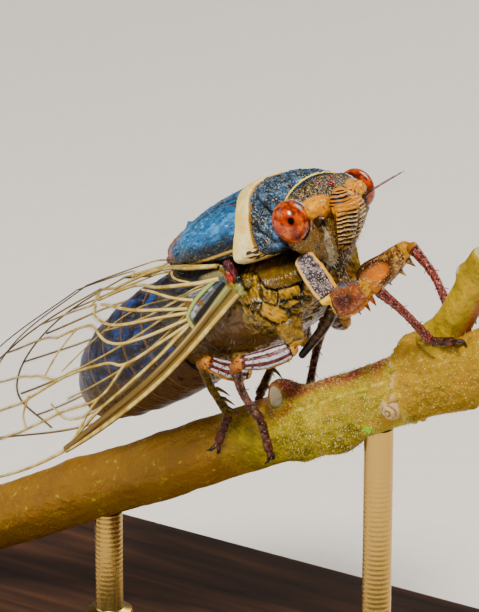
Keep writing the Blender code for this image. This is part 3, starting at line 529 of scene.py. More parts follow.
def growth_tree(name, round_grain):
    """Node tree that sets small bristles, or round grains, on a surface where a mark allows them."""
    tree = bpy.data.node_groups.new(name, "GeometryNodeTree")
    face = tree.interface
    face.new_socket("Geometry", in_out="INPUT", socket_type="NodeSocketGeometry")
    for label, kind, value in (("Density", "NodeSocketFloat", 1.0), ("Length", "NodeSocketFloat", 1.0),
            ("Thickness", "NodeSocketFloat", 1.0), ("Spread", "NodeSocketFloat", 0.3),
            ("Lean", "NodeSocketVector", (0, 0, 0)), ("Seed", "NodeSocketInt", 1),
            ("Mark", "NodeSocketString", "dots"), ("Finish", "NodeSocketMaterial", None)):
        socket = face.new_socket(label, in_out="INPUT", socket_type=kind)
        if value is not None:
            socket.default_value = value
    face.new_socket("Geometry", in_out="OUTPUT", socket_type="NodeSocketGeometry")
    given = add(tree, "NodeGroupInput").outputs
    mark = add(tree, "GeometryNodeInputNamedAttribute", {"data_type": "FLOAT"}, {"Name": given["Mark"]})
    thick = add(tree, "ShaderNodeMath", {"operation": "MULTIPLY"}, {0: mark, 1: given["Density"]})
    sown = add(tree, "GeometryNodeDistributePointsOnFaces", None,
        {"Mesh": given["Geometry"], "Density": thick, "Seed": given["Seed"]})
    stray = add(tree, "FunctionNodeRandomValue", {"data_type": "FLOAT_VECTOR"},
        {"Min": (-1, -1, -1), "Max": (1, 1, 1), "Seed": given["Seed"]})
    stray = add(tree, "ShaderNodeVectorMath", {"operation": "SCALE"}, {0: stray, "Scale": given["Spread"]})
    lay = add(tree, "ShaderNodeVectorMath", {"operation": "ADD"}, {0: stray, 1: given["Lean"]})
    aim = add(tree, "ShaderNodeVectorMath", {"operation": "ADD"}, {0: lay, 1: sown.outputs["Normal"]})
    turn = add(tree, "FunctionNodeAlignRotationToVector", {"axis": "Z"}, {"Vector": aim})
    if round_grain:
        seed_mesh = add(tree, "GeometryNodeMeshUVSphere", None,
            {"Segments": 6, "Rings": 4, "Radius": given["Thickness"]})
    else:
        seed_mesh = add(tree, "GeometryNodeMeshCone", None, {"Vertices": 3, "Radius Top": 0.0,
            "Radius Bottom": given["Thickness"], "Depth": given["Length"]})
    size = add(tree, "FunctionNodeRandomValue", {"data_type": "FLOAT"},
        {2: 0.55, 3: 1.25, "Seed": given["Seed"]})
    grown = add(tree, "GeometryNodeInstanceOnPoints", None, {"Points": sown.outputs["Points"],
        "Instance": seed_mesh.outputs["Mesh"], "Rotation": turn, "Scale": size.outputs[1]})
    real = add(tree, "GeometryNodeRealizeInstances", None, {"Geometry": grown})
    dressed = add(tree, "GeometryNodeSetMaterial", None, {"Geometry": real, "Material": given["Finish"]})
    add(tree, "NodeGroupOutput", None, {"Geometry": dressed})
    return tree


def laid_flat(mesh):
    """Give a skin a flat map of its own rows and columns, for what grows on it to keep its place."""
    corners, starts, totals = (np.empty(count, np.int32) for count in (len(mesh.loops),
        *[len(mesh.polygons)] * 2))
    mesh.loops.foreach_get("vertex_index", corners)
    mesh.polygons.foreach_get("loop_start", starts)
    mesh.polygons.foreach_get("loop_total", totals)
    row, column = corners // mesh["width"], corners % mesh["width"]
    last = np.repeat(np.maximum.reduceat(column, starts), totals)
    column = column + mesh["width"] * (last - column > mesh["width"] / 2)
    places = np.stack([row / mesh["rows"], column / mesh["width"]], axis=-1).clip(0, 1)
    mesh.uv_layers.new(name="place").data.foreach_set("uv", places.astype(np.float32).ravel())


def patched(mesh):
    """Map each bristle or grain to a tiny patch at its root's place on the skin's flat map."""
    roots = np.empty(2 * len(mesh.vertices), np.float32)
    mesh.attributes["place"].data.foreach_get("vector", roots)
    corners = np.empty(len(mesh.loops), np.int32)
    mesh.loops.foreach_get("vertex_index", corners)
    turn = 2.4 * corners
    patch = roots.reshape(-1, 2)[corners] + PATCH / 2 * np.stack([np.cos(turn), np.sin(turn)], axis=-1)
    mesh.attributes.remove(mesh.attributes["place"])
    mesh.uv_layers.new(name="OFBake").data.foreach_set("uv", patch.astype(np.float32).ravel())


def grown_mesh(data, tree, wanted):
    """The plain mesh that a node tree makes of a mesh, with the tree's inputs set by name."""
    carrier = placed("carrier", data)
    nodes = carrier.modifiers.new("growth", "NODES")
    nodes.node_group = tree
    for item in tree.interface.items_tree:
        if item.in_out == "INPUT" and item.name in wanted:
            nodes[item.identifier] = wanted[item.name]
    view = bpy.context.evaluated_depsgraph_get()
    mesh = bpy.data.meshes.new_from_object(carrier.evaluated_get(view))
    carrier.modifiers.clear()
    bpy.data.objects.remove(carrier, do_unlink=True)
    return mesh


def grow(name, ground, tree, finish, slot, **sizes):
    """Run a growth tree over a copy of a piece's skin and keep its result as a plain mesh piece."""
    data = ground.data.copy()
    laid_flat(data)
    wanted = {"Finish": finish, **{key.capitalize(): value for key, value in sizes.items()}}
    mesh = grown_mesh(data, tree, wanted)
    patched(mesh)
    mesh.name = name
    settle(placed(name, mesh), finish, slot)


def dot_cork():
    """Corky pore tissue: dull pale yellow, dry, some grains browner."""
    ground = (0.5, ((0.4, "C4AC3C"), (0.6, "E4D680")))
    layers = (("noise", 0.2, 0.6, 0.7, "A8843A"),)
    return painted_finish("pore_cork", {"Roughness": 0.7}, ground, layers)


def plant_down():
    """Plant hair: fine, pale and translucent, so it catches the light."""
    ground = (0.6, ((0.4, "C8B868"), (0.6, "E8DEAC")))
    layers = (("noise", 0.25, 0.6, 0.7, "B09A48"),)
    return painted_finish("bark_down", {"Roughness": 0.5, "Alpha": 0.8}, ground, layers)


grain_tree = growth_tree("raised_dots", True)
bristle_tree = growth_tree("bristles", False)
grow("bark_dots", stem, grain_tree, dot_cork(), "twig", density=3.6e7, thickness=DOT_RADIUS * MM, seed=4)
grow("bark_down", stem, bristle_tree, plant_down(), "twig", density=2.0e7, length=DOWN_LENGTH * MM,
    thickness=DOWN_THICKNESS * MM, spread=0.7, seed=5)

# The side of the thorax
# Hard olive-gold plates of shell with black sunken seams between them, over the wing and leg
# muscles, with a little silvery down caught in the creases. Painted highlights lie on their crinkles
# and as glints under the wing root; painted shade lies in the crinkles' hollows, under the apron's
# edge and over the upper rear under the wing.
THORAX = ((-7.0, -2.7, -5.2, -8.8, 3.9), (-5.5, -2.7, -5.1, -8.9, 4.15), (-3.5, -2.9, -5.1, -8.8, 4.3),
    (-1.0, -3.4, -5.2, -8.3, 4.3), (0.8, -4.0, -5.5, -7.4, 3.95), (2.0, -4.4, -5.6, -6.7, 2.6))
# Each plate's middle along the body and in height, how far it reaches, and how yellow it is.
PLATES = ((0.75, -5.75, 0.0, 0.55), (1.35, -6.0, 0.15, 0.8), (2.4, -6.25, 0.35, 0.75),
    (1.25, -6.55, 0.1, 0.7),
    (-0.5, -5.3, 0.3, 0.45), (-0.55, -5.95, 0.05, 0.3), (0.05, -6.65, 0.2, 1.0),
    (1.2, -7.5, 0.35, 0.35),
    (-1.5, -6.6, 0.7, 0.1), (-2.4, -5.0, 0.5, 0.3), (-4.2, -6.2, 0.9, 0.1), (-4.6, -4.6, 0.5, 0.15),
    (-1.2, -7.9, 0.5, 0.1), (-3.4, -8.0, 0.6, 0.1), (-5.9, -7.6, 0.6, 0.05))
# The lower edge of the big apron plate, along the body and in height.
APRON = ((0.05, -4.3), (0.41, -4.84), (0.6, -5.14), (0.97, -5.42), (1.5, -5.56), (1.92, -5.6),
    (2.34, -5.44), (2.8, -5.2))
APRON_RISE = 0.13
PLATE_RISE = 0.1
SEAM_WIDTH = 0.06


def smooth(points, t):
    """Places on the smooth curve through the given points, t running from 0 to 1."""
    points = np.asarray(points, float)
    place = np.asarray(t, float) * (len(points) - 1)
    i = np.minimum(place.astype(int), len(points) - 2)
    f = (place - i)[..., None]
    padded = np.vstack([2 * points[0] - points[1], points, 2 * points[-1] - points[-2]])
    before, a, b, after = padded[i], padded[i + 1], padded[i + 2], padded[i + 3]
    bend = 2 * before - 5 * a + 4 * b - after
    return 0.5 * (2 * a + (b - before) * f + bend * f ** 2 + (3 * a - before - 3 * b + after) * f ** 3)


def arch(x, top, side, bottom, half, power, turns):
    """Cross-sections of a shell: rounded over the back, and as round or square below."""
    c, s = np.cos(turns), np.sin(turns)
    y = half * np.sign(c) * np.abs(c) ** (2 / power)
    reach = np.where(s > 0, top - side, side - bottom)
    z = side + np.sign(s) * np.abs(s) ** (2 / power) * reach
    return np.stack(np.broadcast_arrays(x, y, z), axis=-1)


def lofted(stations, power, rows, sides):
    """A shell through its stations: length, top, side and bottom heights, half width."""
    read = smooth(stations, np.linspace(0, 1, rows))
    x, top, side, bottom, half = (read[:, k:k + 1] for k in range(5))
    turns = full_turn(sides)[None, :]
    return arch(x, top, side, bottom, half, power, turns)


def raised(rows, height, around=True):
    """Rows of points moved out along their surface's normals."""
    along = np.gradient(rows, axis=0)
    across = np.roll(rows, -1, 1) - np.roll(rows, 1, 1) if around else np.gradient(rows, axis=1)
    out = np.cross(along, across)
    out = out / (np.linalg.norm(out, axis=-1, keepdims=True) + 1e-9)
    if ((rows - rows.mean(axis=1, keepdims=True)) * out).sum() < 0:
        out = -out
    return rows + out * np.asarray(height)[..., None]


def thorax_rows():
    """The thorax's skin with its plates, and the marks that paint them."""
    rows = lofted(THORAX, 2.3, 240, 220)
    x, y, z = rows[..., 0], np.abs(rows[..., 1]), rows[..., 2]
    warp = 0.16 * grain_at(rows, 0.9, 2.0) + 0.03 * grain_at(rows, 0.3, 5.0)
    reach, drop = zip(*APRON)
    over = z + 0.05 * grain_at(rows, 0.5, 3.0) - np.interp(x, reach, drop)
    within = step_up(x, reach[0], reach[0] + 0.08) * (1 - step_up(x, reach[-1], reach[-1] + 0.2))
    apron = step_up(over, 0.0, 0.04) * within
    # A painted shadow under the apron's lower edge; it joins the seam mark, which otherwise holds the plates'
    # own dark seams.
    shadow = mound(over + 0.07, 0.1) * within * (1 - apron)
    off = np.stack([np.sqrt((x - px + warp) ** 2 + (z - pz - warp) ** 2 + 0.4 * (4.1 - y) ** 2) - reach
        for px, pz, reach, _ in PLATES])
    order = np.sort(off, axis=0)
    edge = (order[1] - order[0]) / 2
    tone = np.array([plate[3] for plate in PLATES])[off.argmin(axis=0)]
    rear = 1 - step_up(x, -2.2, -0.9)
    belly = step_up(-z, 7.4, 8.2)
    plain = np.clip(1 - 0.75 * rear - belly, 0.0, 1)
    faded = 0.25 + 0.75 * step_up(grain_at(rows, 0.8, 17.0), -0.5, 0.1)
    seam = mound(edge, SEAM_WIDTH) * faded * (0.25 + 0.75 * plain)
    front_seam = 0.8 * mound(x - reach[0], 0.05) * step_up(z, -4.9, -4.2)
    seam = np.maximum(seam * (1 - apron), np.maximum(shadow, front_seam))
    tone = np.where(apron > 0.5, 0.25, tone)
    lap = np.array([plate[1] for plate in PLATES])[off.argmin(axis=0)] - z
    dome = 1 - np.exp(-edge / 0.09)
    wrinkle = grain_at(rows * (0.8, 0.6, 2.4), 0.5, 8.0) + 0.5 * grain_at(rows * (1, 1, 1.8), 0.22, 5.0)
    upright = grain_at(rows * (2.6, 0.6, 0.7), 0.42, 13.0)
    fold = step_up(np.abs(wrinkle), 0.0, 0.12)
    height = (PLATE_RISE * dome + 0.16 * np.clip(lap, -0.4, 0.4)) * plain * (1 - apron) + APRON_RISE * apron
    height = height - 0.14 * seam + 0.04 * upright * plain * (1 - 0.8 * apron)
    pleat = np.sin(2 * np.pi * (x + 0.15 * z + 1.4 * warp) / 0.13) * (0.2 + 0.8 * apron) * step_up(x, -0.3,
        0.1)
    height = height + 0.022 * pleat
    # The crest mark paints highlights on the tops of the fine crinkles and the apron's pleats; the hollow
    # mark paints shade in the crinkles' hollows.
    crinkle = grain_at(rows * (1.8, 0.6, 0.6), 0.22, 27.0) + 0.4 * grain_at(rows * (1.5, 0.6, 1), 0.12, 9.0)
    height = height + 0.09 * wrinkle * (1 - 0.7 * plain) + 0.04 * crinkle * (1 - 0.85 * apron)
    seam = np.clip(seam + 0.75 * (1 - fold) * (1 - plain) * step_up(grain_at(rows, 1.0, 19.0), -0.2, 0.3),
        0, 1)
    # The glint mark paints pale glints of light on the crinkles below the wing root.
    glint = step_up(grain_at(rows, 0.5, 21.0), 0.1, 0.5) * mound(np.hypot(x + 0.4, z + 5.6), 0.75)
    # The dark navy laid over the upper rear, under the wing, is painted shade.
    marks = {"seam": seam, "gold": tone * dome, "night": rear * step_up(z, -6.2, -5.2), "belly": belly,
        "glint": glint * step_up(crinkle, -0.2, 0.1),
        "crest": np.maximum(step_up(crinkle, 0.08, 0.4) * (1 - apron),
        0.45 * apron * step_up(pleat + wrinkle, 0, 0.9)) * plain, "hollow": step_up(-crinkle, 0.1,
        0.4) * (1 - 0.5 * rear) * (1 - 0.85 * apron), "apron": apron, "rear": rear,
        "down": 0.25 + 0.75 * seam}
    return to_world(raised(rows, height)), marks


def plate_shell():
    """Hard insect shell, olive-gold, lacquered by its own wax: satin, with black seams, painted highlights
    and painted shade.
    """
    settings = {"Roughness": 0.2, "Specular IOR Level": 0.3, "Coat Weight": 0.15, "Coat Roughness": 0.06}
    ground = (0.3, ((0.38, "302202"), (0.5, "5E4604"), (0.62, "92700A")))
    layers = (("apron", 0.2, 1.4, "604606"), ("gold", 0.35, 1.2, "E0A400"), ("rear", 0.2, 1.0, "5A3C08"),
        ("belly", 0.1, 0.9, "64440C"), ("night", 0.2, 0.9, "080C22"), ("crest", 0.3, 1.5, "CC9C20"),
        ("glint", 0.25, 0.8, "E8DCB0"), ("hollow", 0.3, 1.4, "241602"), ("seam", 0.3, 0.9, "080502"))
    return painted_finish("side_plate_shell", settings, ground, layers,
        (("noise", 0.3, 0.05, 4.0), ("cells", 0.09, 0.012, 0)))


def silver_down():
    """Fine insect hair: stiff, pale and slightly glassy, some of it browner."""
    ground = (0.4, ((0.4, "BFA878"), (0.6, "E2D8BC")))
    layers = (("noise", 0.15, 0.6, 0.7, "8E7244"),)
    return painted_finish("silver_down", {"Roughness": 0.35, "Alpha": 0.85}, ground, layers)


def hairs(name, piece, slot, density, length, thickness, spread, lean, seed):
    """Silvery down on a piece, by its length and half thickness in millimetres, its stray and lean."""
    grow(name, piece, bristle_tree, down_finish, slot, density=density, length=length * MM,
        thickness=thickness * MM, spread=spread, lean=lean, seed=seed, mark="down")


plate_finish = plate_shell()
down_finish = silver_down()
thorax = skinned("side_plates", thorax_rows(), plate_finish, "side_shell", "thorax")
hairs("side_down", thorax, "side_shell", 7.0e6, 0.3, 0.008, 0.8, (-0.6, 0.0, -0.9), 11)

# The neck
# The soft-edged plates of the first thorax ring, under the shield and behind the face.
NECK = ((1.5, -3.9, -5.4, -6.7, 2.1), (2.1, -4.0, -5.2, -6.4, 1.5), (2.7, -4.2, -4.9, -5.8, 0.8))
neck_rows = lofted(NECK, 2.2, 40, 90)
neck_fold = np.sin(neck_rows[..., 0] * 9 + grain_at(neck_rows, 0.8, 4.0) * 2)
neck_rows = raised(neck_rows, 0.05 * neck_fold)
neck_marks = {"seam": mound(neck_fold + 1, 0.35), "gold": 0.7 * step_up(neck_fold, -0.2, 0.8)}
neck = grid_mesh("neck_ring", to_world(neck_rows), neck_marks)
settle(neck, plate_finish, "side_shell", "prothorax")

# The abdomen
# Eight overlapping rings of thin shell that telescope: dark blue-brown above, brown and wrinkled
# below, each with a paler rear rim.
ABDOMEN = ((-7.0, -2.95, -5.8, -9.3, 3.9), (-9.0, -3.15, -6.1, -9.7, 3.9), (-11.0, -3.45, -6.4, -9.9, 3.7),
    (-13.0, -4.1, -6.8, -9.95, 3.25), (-14.8, -4.9, -7.3, -9.85, 2.6), (-16.2, -6.0, -7.8, -9.5, 1.6),
    (-17.0, -7.2, -8.1, -8.9, 0.6), (-17.35, -7.75, -8.1, -8.45, 0.2))
ABDOMEN_RINGS = 8
RING_STEP = 0.12


def abdomen_rows():
    """The abdomen's skin, stepping down behind each ring."""
    rows = lofted(ABDOMEN, 2.1, 240, 130)
    phase = np.linspace(0, ABDOMEN_RINGS, 240)[:, None] % 1
    ring = RING_STEP * phase - RING_STEP * step_up(phase, 0.94, 1.0) * phase
    z = rows[..., 2]
    under = step_up(-z, 6.6, 8.6)
    wrinkle = grain_at(rows * (2.2, 0.7, 0.7), 0.6, 6.0)
    height = ring - 0.06 + 0.05 * wrinkle * (0.4 + 0.6 * under) + 0.012 * grain_at(rows, 0.22, 3.0)
    rim = mound(phase - 0.9, 0.06) + 0 * z
    groove = mound(np.minimum(phase, 1 - phase), 0.03) * step_up(rows[..., 0], -16.6, -16.2)
    marks = {"rim": rim, "seam": groove, "under": under, "spot": step_up(wrinkle, 0.1, 0.5) * under,
        "down": 0.1 + 0.4 * rim}
    return to_world(raised(rows, height)), marks


def ring_shell():
    """Thin insect shell on the abdomen: blue-black and glossy above, dull brown below."""
    settings = {"Roughness": 0.34, "Specular IOR Level": 0.12, "Coat Weight": 0.05, "Coat Roughness": 0.2}
    ground = (0.8, ((0.3, "020308"), (0.5, "061438"), (0.66, "124490")))
    layers = (("noise", 0.7, 0.56, 0.68, "2E1C10"), ("under", 0.1, 0.8, "54391F"),
        ("spot", 0.3, 0.9, "2A1A0E"), ("rim", 0.4, 0.9, "6E4E2A"), ("noise", 0.18, 0.6, 0.7, "86683E"),
        ("seam", 0.4, 0.9, "0C0804"))
    return painted_finish("abdomen_shell", settings, ground, layers,
        (("noise", 0.25, 0.04, 5.0), ("cells", 0.1, 0.012, 0)))


abdomen = skinned("abdomen_rings", abdomen_rows(), ring_shell(), "belly_shell", "abdomen")
hairs("abdomen_down", abdomen, "belly_shell", 4.0e6, 0.3, 0.008, 0.5, (-1.6, 0.0, -0.8), 12)

# The middle back
# The big domed plate over the flight muscles: steel blue with a silky sheen, partly painted as a
# brighter band along each flank, a red-brown line each side, dark and gold-edged below, and a raised
# cross of ridges at its rear.
MIDDLE_BACK = ((-7.0, -1.9, -2.5, -2.9, 1.3), (-6.3, -1.45, -2.4, -2.9, 2.2), (-5.3, -0.95, -2.4, -3.0, 3.0),
    (-3.6, -0.38, -2.5, -3.2, 3.75), (-1.7, -0.1, -2.9, -3.5, 4.15),
    (0.2, -0.02, -3.1, -3.7, 4.28))
BACK_LINES = (((-0.2, 2.6, -0.55), (-1.9, 2.2, -0.4), (-3.4, 1.75, -0.6), (-4.4, 0.9, -0.7)),
    ((-0.2, 0.75, 0.0), (-1.9, 0.7, -0.15), (-3.1, 0.35, -0.35)))
CROSS_ARMS = (((-4.5, 1.5, -1.0), (-5.7, 0.15, -1.05), (-6.9, 1.2, -1.9)),
    ((-4.9, 2.9, -2.0), (-5.9, 2.4, -2.2)))


def from_line(points, line):
    """How far each point lies from a line of straight runs, the same on both flanks."""
    flank = points * (1, 1, 1)
    flank[..., 1] = np.abs(flank[..., 1])
    best = np.full(points.shape[:-1], 1e9)
    fine = smooth(line, np.linspace(0, 1, 4 * len(line)))
    for a, b in zip(fine, fine[1:]):
        run = b - a
        share = np.clip(((flank - a) @ run) / (run @ run), 0, 1)
        best = np.minimum(best, np.linalg.norm(flank - a - share[..., None] * run, axis=-1))
    return best


def back_rows():
    """The middle back's skin with its lines, dimples and cross."""
    rows = lofted(MIDDLE_BACK, 2.2, 200, 260)
    line = sum(mound(from_line(rows, path), 0.07) for path in BACK_LINES)
    cross = sum(mound(from_line(rows, path), 0.2) for path in CROSS_ARMS)
    rear = 1 - step_up(rows[..., 0], -5.4, -4.5)
    x, z = rows[..., 0], rows[..., 2]
    low = step_up(-z, 1.5, 2.5)
    silk = grain_at(rows * (1, 2.4, 2.4), 0.9, 5.0)
    height = 0.3 * cross - 0.07 * line + 0.04 * silk + 0.03 * grain_at(rows * (1, 1.6, 1.6), 0.22, 7.0)
    height = height + 0.05 * rear * grain_at(rows, 0.4, 9.0)
    # The lit band is a painted sheen along the flank; the silk mark is weighted by it, so silk is part
    # wrinkle texture, part painted sheen.
    lit = np.exp(-((z + 1.35) / 0.75) ** 2) * step_up(x, -6.4, -3.4)
    marks = {"line": line, "cross": np.clip(rear * (0.5 + cross), 0, 1), "low": low,
        "edge": mound(z + 2.75, 0.1) * step_up(x, -5.5, -4), "down": 0.2 + 0.8 * low,
        "silk": step_up(silk + 0.5 * grain_at(rows, 0.35, 13.0), -0.3,
        0.6) * (1 - low) * (0.25 + 0.75 * lit), "lit": lit * (1 - low)}
    return to_world(raised(rows, height)), marks


def blue_shell(name, ground):
    """Hard insect shell, blue from its own structure: dark, with a satin blue sheen, partly painted along the
    flanks.
    """
    finish, tree, shader = blank_finish(name, {"Roughness": 0.3, "Specular IOR Level": 0.3,
        "Coat Weight": 0.12, "Coat Roughness": 0.15, "Sheen Weight": 0.06, "Sheen Roughness": 0.4,
        "Sheen Tint": linear("5FA4D8")})
    place = insect_space(tree)
    drawn_out = add(tree, "ShaderNodeMapping", None, {"Vector": place, "Rotation": (0, 0, 0.5),
        "Scale": (0.5, 1.3, 1.3)})
    place = drawn_out.outputs[0]
    paint = painted(tree, place, (0.34, ground), (("lit", 0.1, 1.3, "1A6CA8"), ("silk", 0.2, 1.2, "3C98D8"),
        ("noise", 0.2, 0.58, 0.66, "081A2A"), ("bloom", 0.12, 0.63, 0.7, "74BCEA"),
        ("low", 0.2, 1.0, "0A0E12"), ("noise", 0.1, 0.64, 0.72, "A08A4A"), ("cross", 0.3, 0.9, "7E4E3A"),
        ("line", 0.35, 0.9, "5E2A1E"), ("edge", 0.4, 0.9, "C89A2A")))
    tree.links.new(paint, shader.inputs["Base Color"])
    relief(tree, shader, place, (("noise", 0.28, 0.13, 6.0), ("cells", 0.1, 0.02, 0)))
    return finish


middle_back = skinned("middle_back", back_rows(), blue_shell("blue_back_shell",
    ((0.38, "08182A"), (0.5, "10486E"), (0.62, "2070A8"))), "back_shell", "mesonotum")
hairs("back_down", middle_back, "back_shell", 5.0e6, 0.16, 0.006, 0.4, (-1.6, 0.0, -0.5), 13)

# The collar
# The smooth pale hind rim of the neck shield, like old ivory, with two dark blots near its ends.
COLLAR_REAR = ((-4.4, -0.5), (-3.0, -0.4), (-2.4, -0.1), (-1.6, 0.2), (-0.7, 0.1), (0.0, -0.4), (0.3, -0.45))
COLLAR_FRONT = ((-4.4, 1.6), (-3.4, 1.3), (-2.65, 1.15), (-1.9, 1.2), (-1.1, 1.1), (-0.4, 0.75),
    (0.0, 0.45), (0.3, 0.4))
COLLAR_RISE = 0.12


def edge_place(table, height):
    """Where an edge of the collar lies along the body, at each height."""
    levels, places = zip(*table)
    return np.interp(height, levels, places)


def collar_rows():
    """The collar's skin, rolled under at both of its edges."""
    turns = full_turn(260)[None, :]
    roll = np.linspace(0, np.pi, 15)
    share = np.concatenate([(1 - np.cos(roll[:7])) * 0.06, np.linspace(0.075, 0.925, 22),
        1 - (1 - np.cos(roll[:7][::-1])) * 0.06])
    lift = np.minimum(1, np.minimum(share, 1 - share) / 0.1)
    lift = (COLLAR_RISE + 0.14) * np.sqrt(1 - (1 - lift) ** 2) - 0.14
    share, lift = share[:, None], lift[:, None]
    base = arch(0.0, 0.0 + lift, -3.2, -4.0, 4.38 + lift, 2.2, turns)
    z = base[..., 2]
    rear, front = edge_place(COLLAR_REAR, z), edge_place(COLLAR_FRONT, z)
    base[..., 0] = rear + (front - rear) * share
    base[..., 0] += 0.03 * grain_at(base, 0.7, 3.0)
    height = 0.02 * grain_at(base * (1, 0.4, 0.4), 0.35, 2.0)
    blot = mound(np.hypot((base[..., 0] - 1.0) / 1.0, (z + 3.35) / 0.9), 0.42) * (np.abs(base[..., 1]) > 3)
    blot = step_up(grain_at(base * (0.7, 0.7, 2.4), 0.3, 6.0), -0.02, 0.12) * step_up(blot, 0.12, 0.4)
    marks = {"blot": blot, "rim": mound(np.minimum(share, 1 - share) + 0 * z, 0.035),
        "low": step_up(-z, 3.2, 4.0)}
    return to_world(raised(base, height)), marks


def ivory_shell():
    """Unpigmented insect shell: pale cream like old ivory, slightly see-through, satin."""
    settings = {"Roughness": 0.36, "Specular IOR Level": 0.4, "Subsurface Weight": 0.12,
        "Subsurface Scale": 0.0004, "Coat Weight": 0.1, "Coat Roughness": 0.3}
    ground = (0.9, ((0.34, "ECC45C"), (0.5, "FCE084"), (0.66, "FFF6B4")))
    layers = (("noise", 0.2, 0.58, 0.72, "C8983A"), ("low", 0.3, 1.0, "D09A2E"),
        ("rim", 0.3, 1.0, "A0701E"), ("blot", 0.3, 0.7, "2E221E"))
    return painted_finish("ivory_collar_shell", settings, ground, layers,
        (("noise", 0.25, 0.12, 6.0), ("cells", 0.08, 0.01, 0)))


skinned("ivory_collar", collar_rows(), ivory_shell(), "collar_shell", "pronotal_collar")

# The neck shield
# The wrinkled plate between collar and head: blue-black, powdered with pale flecks, cut by
# slanting furrows, with a narrow cream rim where it meets the head.
SHIELD = ((-0.6, 0.02, -3.2, -4.0, 4.3), (0.2, -0.03, -3.2, -4.0, 4.28), (1.4, -0.16, -3.2, -4.0, 4.2),
    (2.5, -0.46, -3.1, -4.0, 3.9), (3.4, -0.93, -3.0, -4.0, 3.3), (4.0, -1.4, -2.9, -3.9, 2.4))
SHIELD_FRONT = ((-4.1, 2.35), (-3.4, 2.5), (-2.4, 2.6), (-1.5, 2.95), (-0.75, 3.08), (0.0, 3.1))
FURROWS = (((1.1, 2.6, -0.6), (1.7, 3.0, -0.95), (2.3, 3.35, -1.6), (2.75, 3.6, -2.2)),
    ((0.9, 1.5, -0.15), (1.7, 1.7, -0.4), (2.5, 1.3, -0.6), (3.0, 1.1, -0.8)),
    ((0.6, 0.0, 0.0), (1.6, 0.0, -0.2), (2.9, 0.0, -0.7)),
    ((1.3, 3.9, -1.9), (1.8, 4.0, -2.5), (2.3, 3.95, -3.1)))


def shield_rows():
    """The shield's skin between the collar and the head, with its furrows and wrinkles."""
    turns = full_turn(300)[None, :]
    share = np.concatenate([np.linspace(0, 0.96, 120),
        0.96 + 0.04 * np.sin(np.linspace(0, np.pi / 2, 8))[1:]])[:, None]
    fine = smooth(SHIELD, np.linspace(0, 1, 90))

    def section(x):
        top, side, bottom, half = (np.interp(x, fine[:, 0], fine[:, k]) for k in (1, 2, 3, 4))
        return arch(x, top, side, bottom, half, 2.2, turns + 0 * x)

    first = section(0.2 + 2.9 * share + 0 * turns)
    z = first[..., 2]
    rear, front = edge_place(COLLAR_FRONT, z) - 0.35, edge_place(SHIELD_FRONT, z)
    rows = section(rear + (front - rear) * share)
    roll = 1 - np.sqrt(1 - np.clip((share - 0.94) / 0.06, 0, 1) ** 2) + 0 * z
    furrow = sum(mound(from_line(rows, path), 0.1) for path in FURROWS)
    bank = sum(mound(from_line(rows, path) - 0.24, 0.12) for path in FURROWS)
    wrinkle = grain_at(rows, 0.45, 12.0)
    height = 0.08 * bank - 0.16 * furrow + 0.1 * wrinkle + 0.045 * grain_at(rows, 0.18, 4.0)
    rim = step_up(share + 0.01 * grain_at(first, 0.4, 3.0), 0.955, 0.965) * step_up(z, -2.3, -1.7)
    height = height * (1 - 0.8 * rim) + 0.04 * rim - 0.12 * roll
    marks = {"furrow": furrow, "rim": rim * (1 - step_up(roll, 0.45, 0.7)), "low": step_up(-z, 2.8, 3.9),
        "fleck": step_up(wrinkle, 0.05, 0.45), "down": 0.3 + 0.5 * furrow}
    return to_world(raised(rows, height)), marks


def powdered_shell():
    """Blue-black insect shell dusted with pale wax powder on its high points."""
    settings = {"Roughness": 0.32, "Specular IOR Level": 0.28, "Coat Weight": 0.08, "Coat Roughness": 0.2,
        "Sheen Weight": 0.05, "Sheen Tint": linear("5FA4D8")}
    ground = (0.7, ((0.36, "050910"), (0.5, "0C2640"), (0.64, "1C5484")))
    layers = (("noise", 0.2, 0.5, 0.58, "05080C"), ("fleck", 0.3, 1.4, "2E6C9C"),
        ("noise", 0.1, 0.58, 0.64, "8CB4CC"), ("noise", 0.075, 0.6, 0.66, "DEC474"),
        ("low", 0.2, 1.0, "0C0D10"), ("furrow", 0.3, 0.8, "030406"), ("rim", 0.4, 0.8, "FFDC50"))
    return painted_finish("powdered_blue_shell", settings, ground, layers,
        (("noise", 0.2, 0.08, 6.0), ("cells", 0.12, 0.03, 0)))


shield = skinned("neck_shield", shield_rows(), powdered_shell(), "back_shell", "pronotum")
hairs("shield_down", shield, "back_shell", 6.0e6, 0.18, 0.006, 0.5, (-1.2, 0.0, -0.4), 14)

# The forewings
# Clear membrane, a few hundredths of a millimetre thick, stretched between raised tan veins. Its
# front edge is a thick double rod, and the whole wing is cambered and folded like half a roof.
COSTA = ((-0.6, -4.5, -4.9), (-7.2, -6.25, -8.05), (-15.4, -6.0, -10.0), (-22.6, -4.9, -10.2),
    (-28.0, -3.0, -9.0))
INNER = ((-1.5, -4.4, -3.2), (-3.9, -3.75, -2.75), (-6.8, -2.05, -2.3), (-10.5, -0.85, -2.15),
    (-14.6, -0.45, -2.1))
OUTER = ((-28.0, -3.0, -9.0), (-26.4, -2.0, -6.2), (-21.5, -0.95, -3.7), (-14.6, -0.45, -2.1))
WING_BULGE = 1.9
BULGE_AIM = np.array((0.0, -0.76, 0.65))
WING_LENGTH = 28.0
ROOT_WIDTH = 2.0
TIP_WIDTH = 13.0
MEMBRANE_HALF = 0.02
MEMBRANE_SAG = 0.16
BARE_COVER = 0.014
# How opaque each mark makes the film.
FILM_COVERS = (("near", 0.22), ("root", 0.6), ("cell", 0.3), ("amber", 0.75), ("shine", 0.6), ("margin", 1.0),
    ("cleft", 1.0))
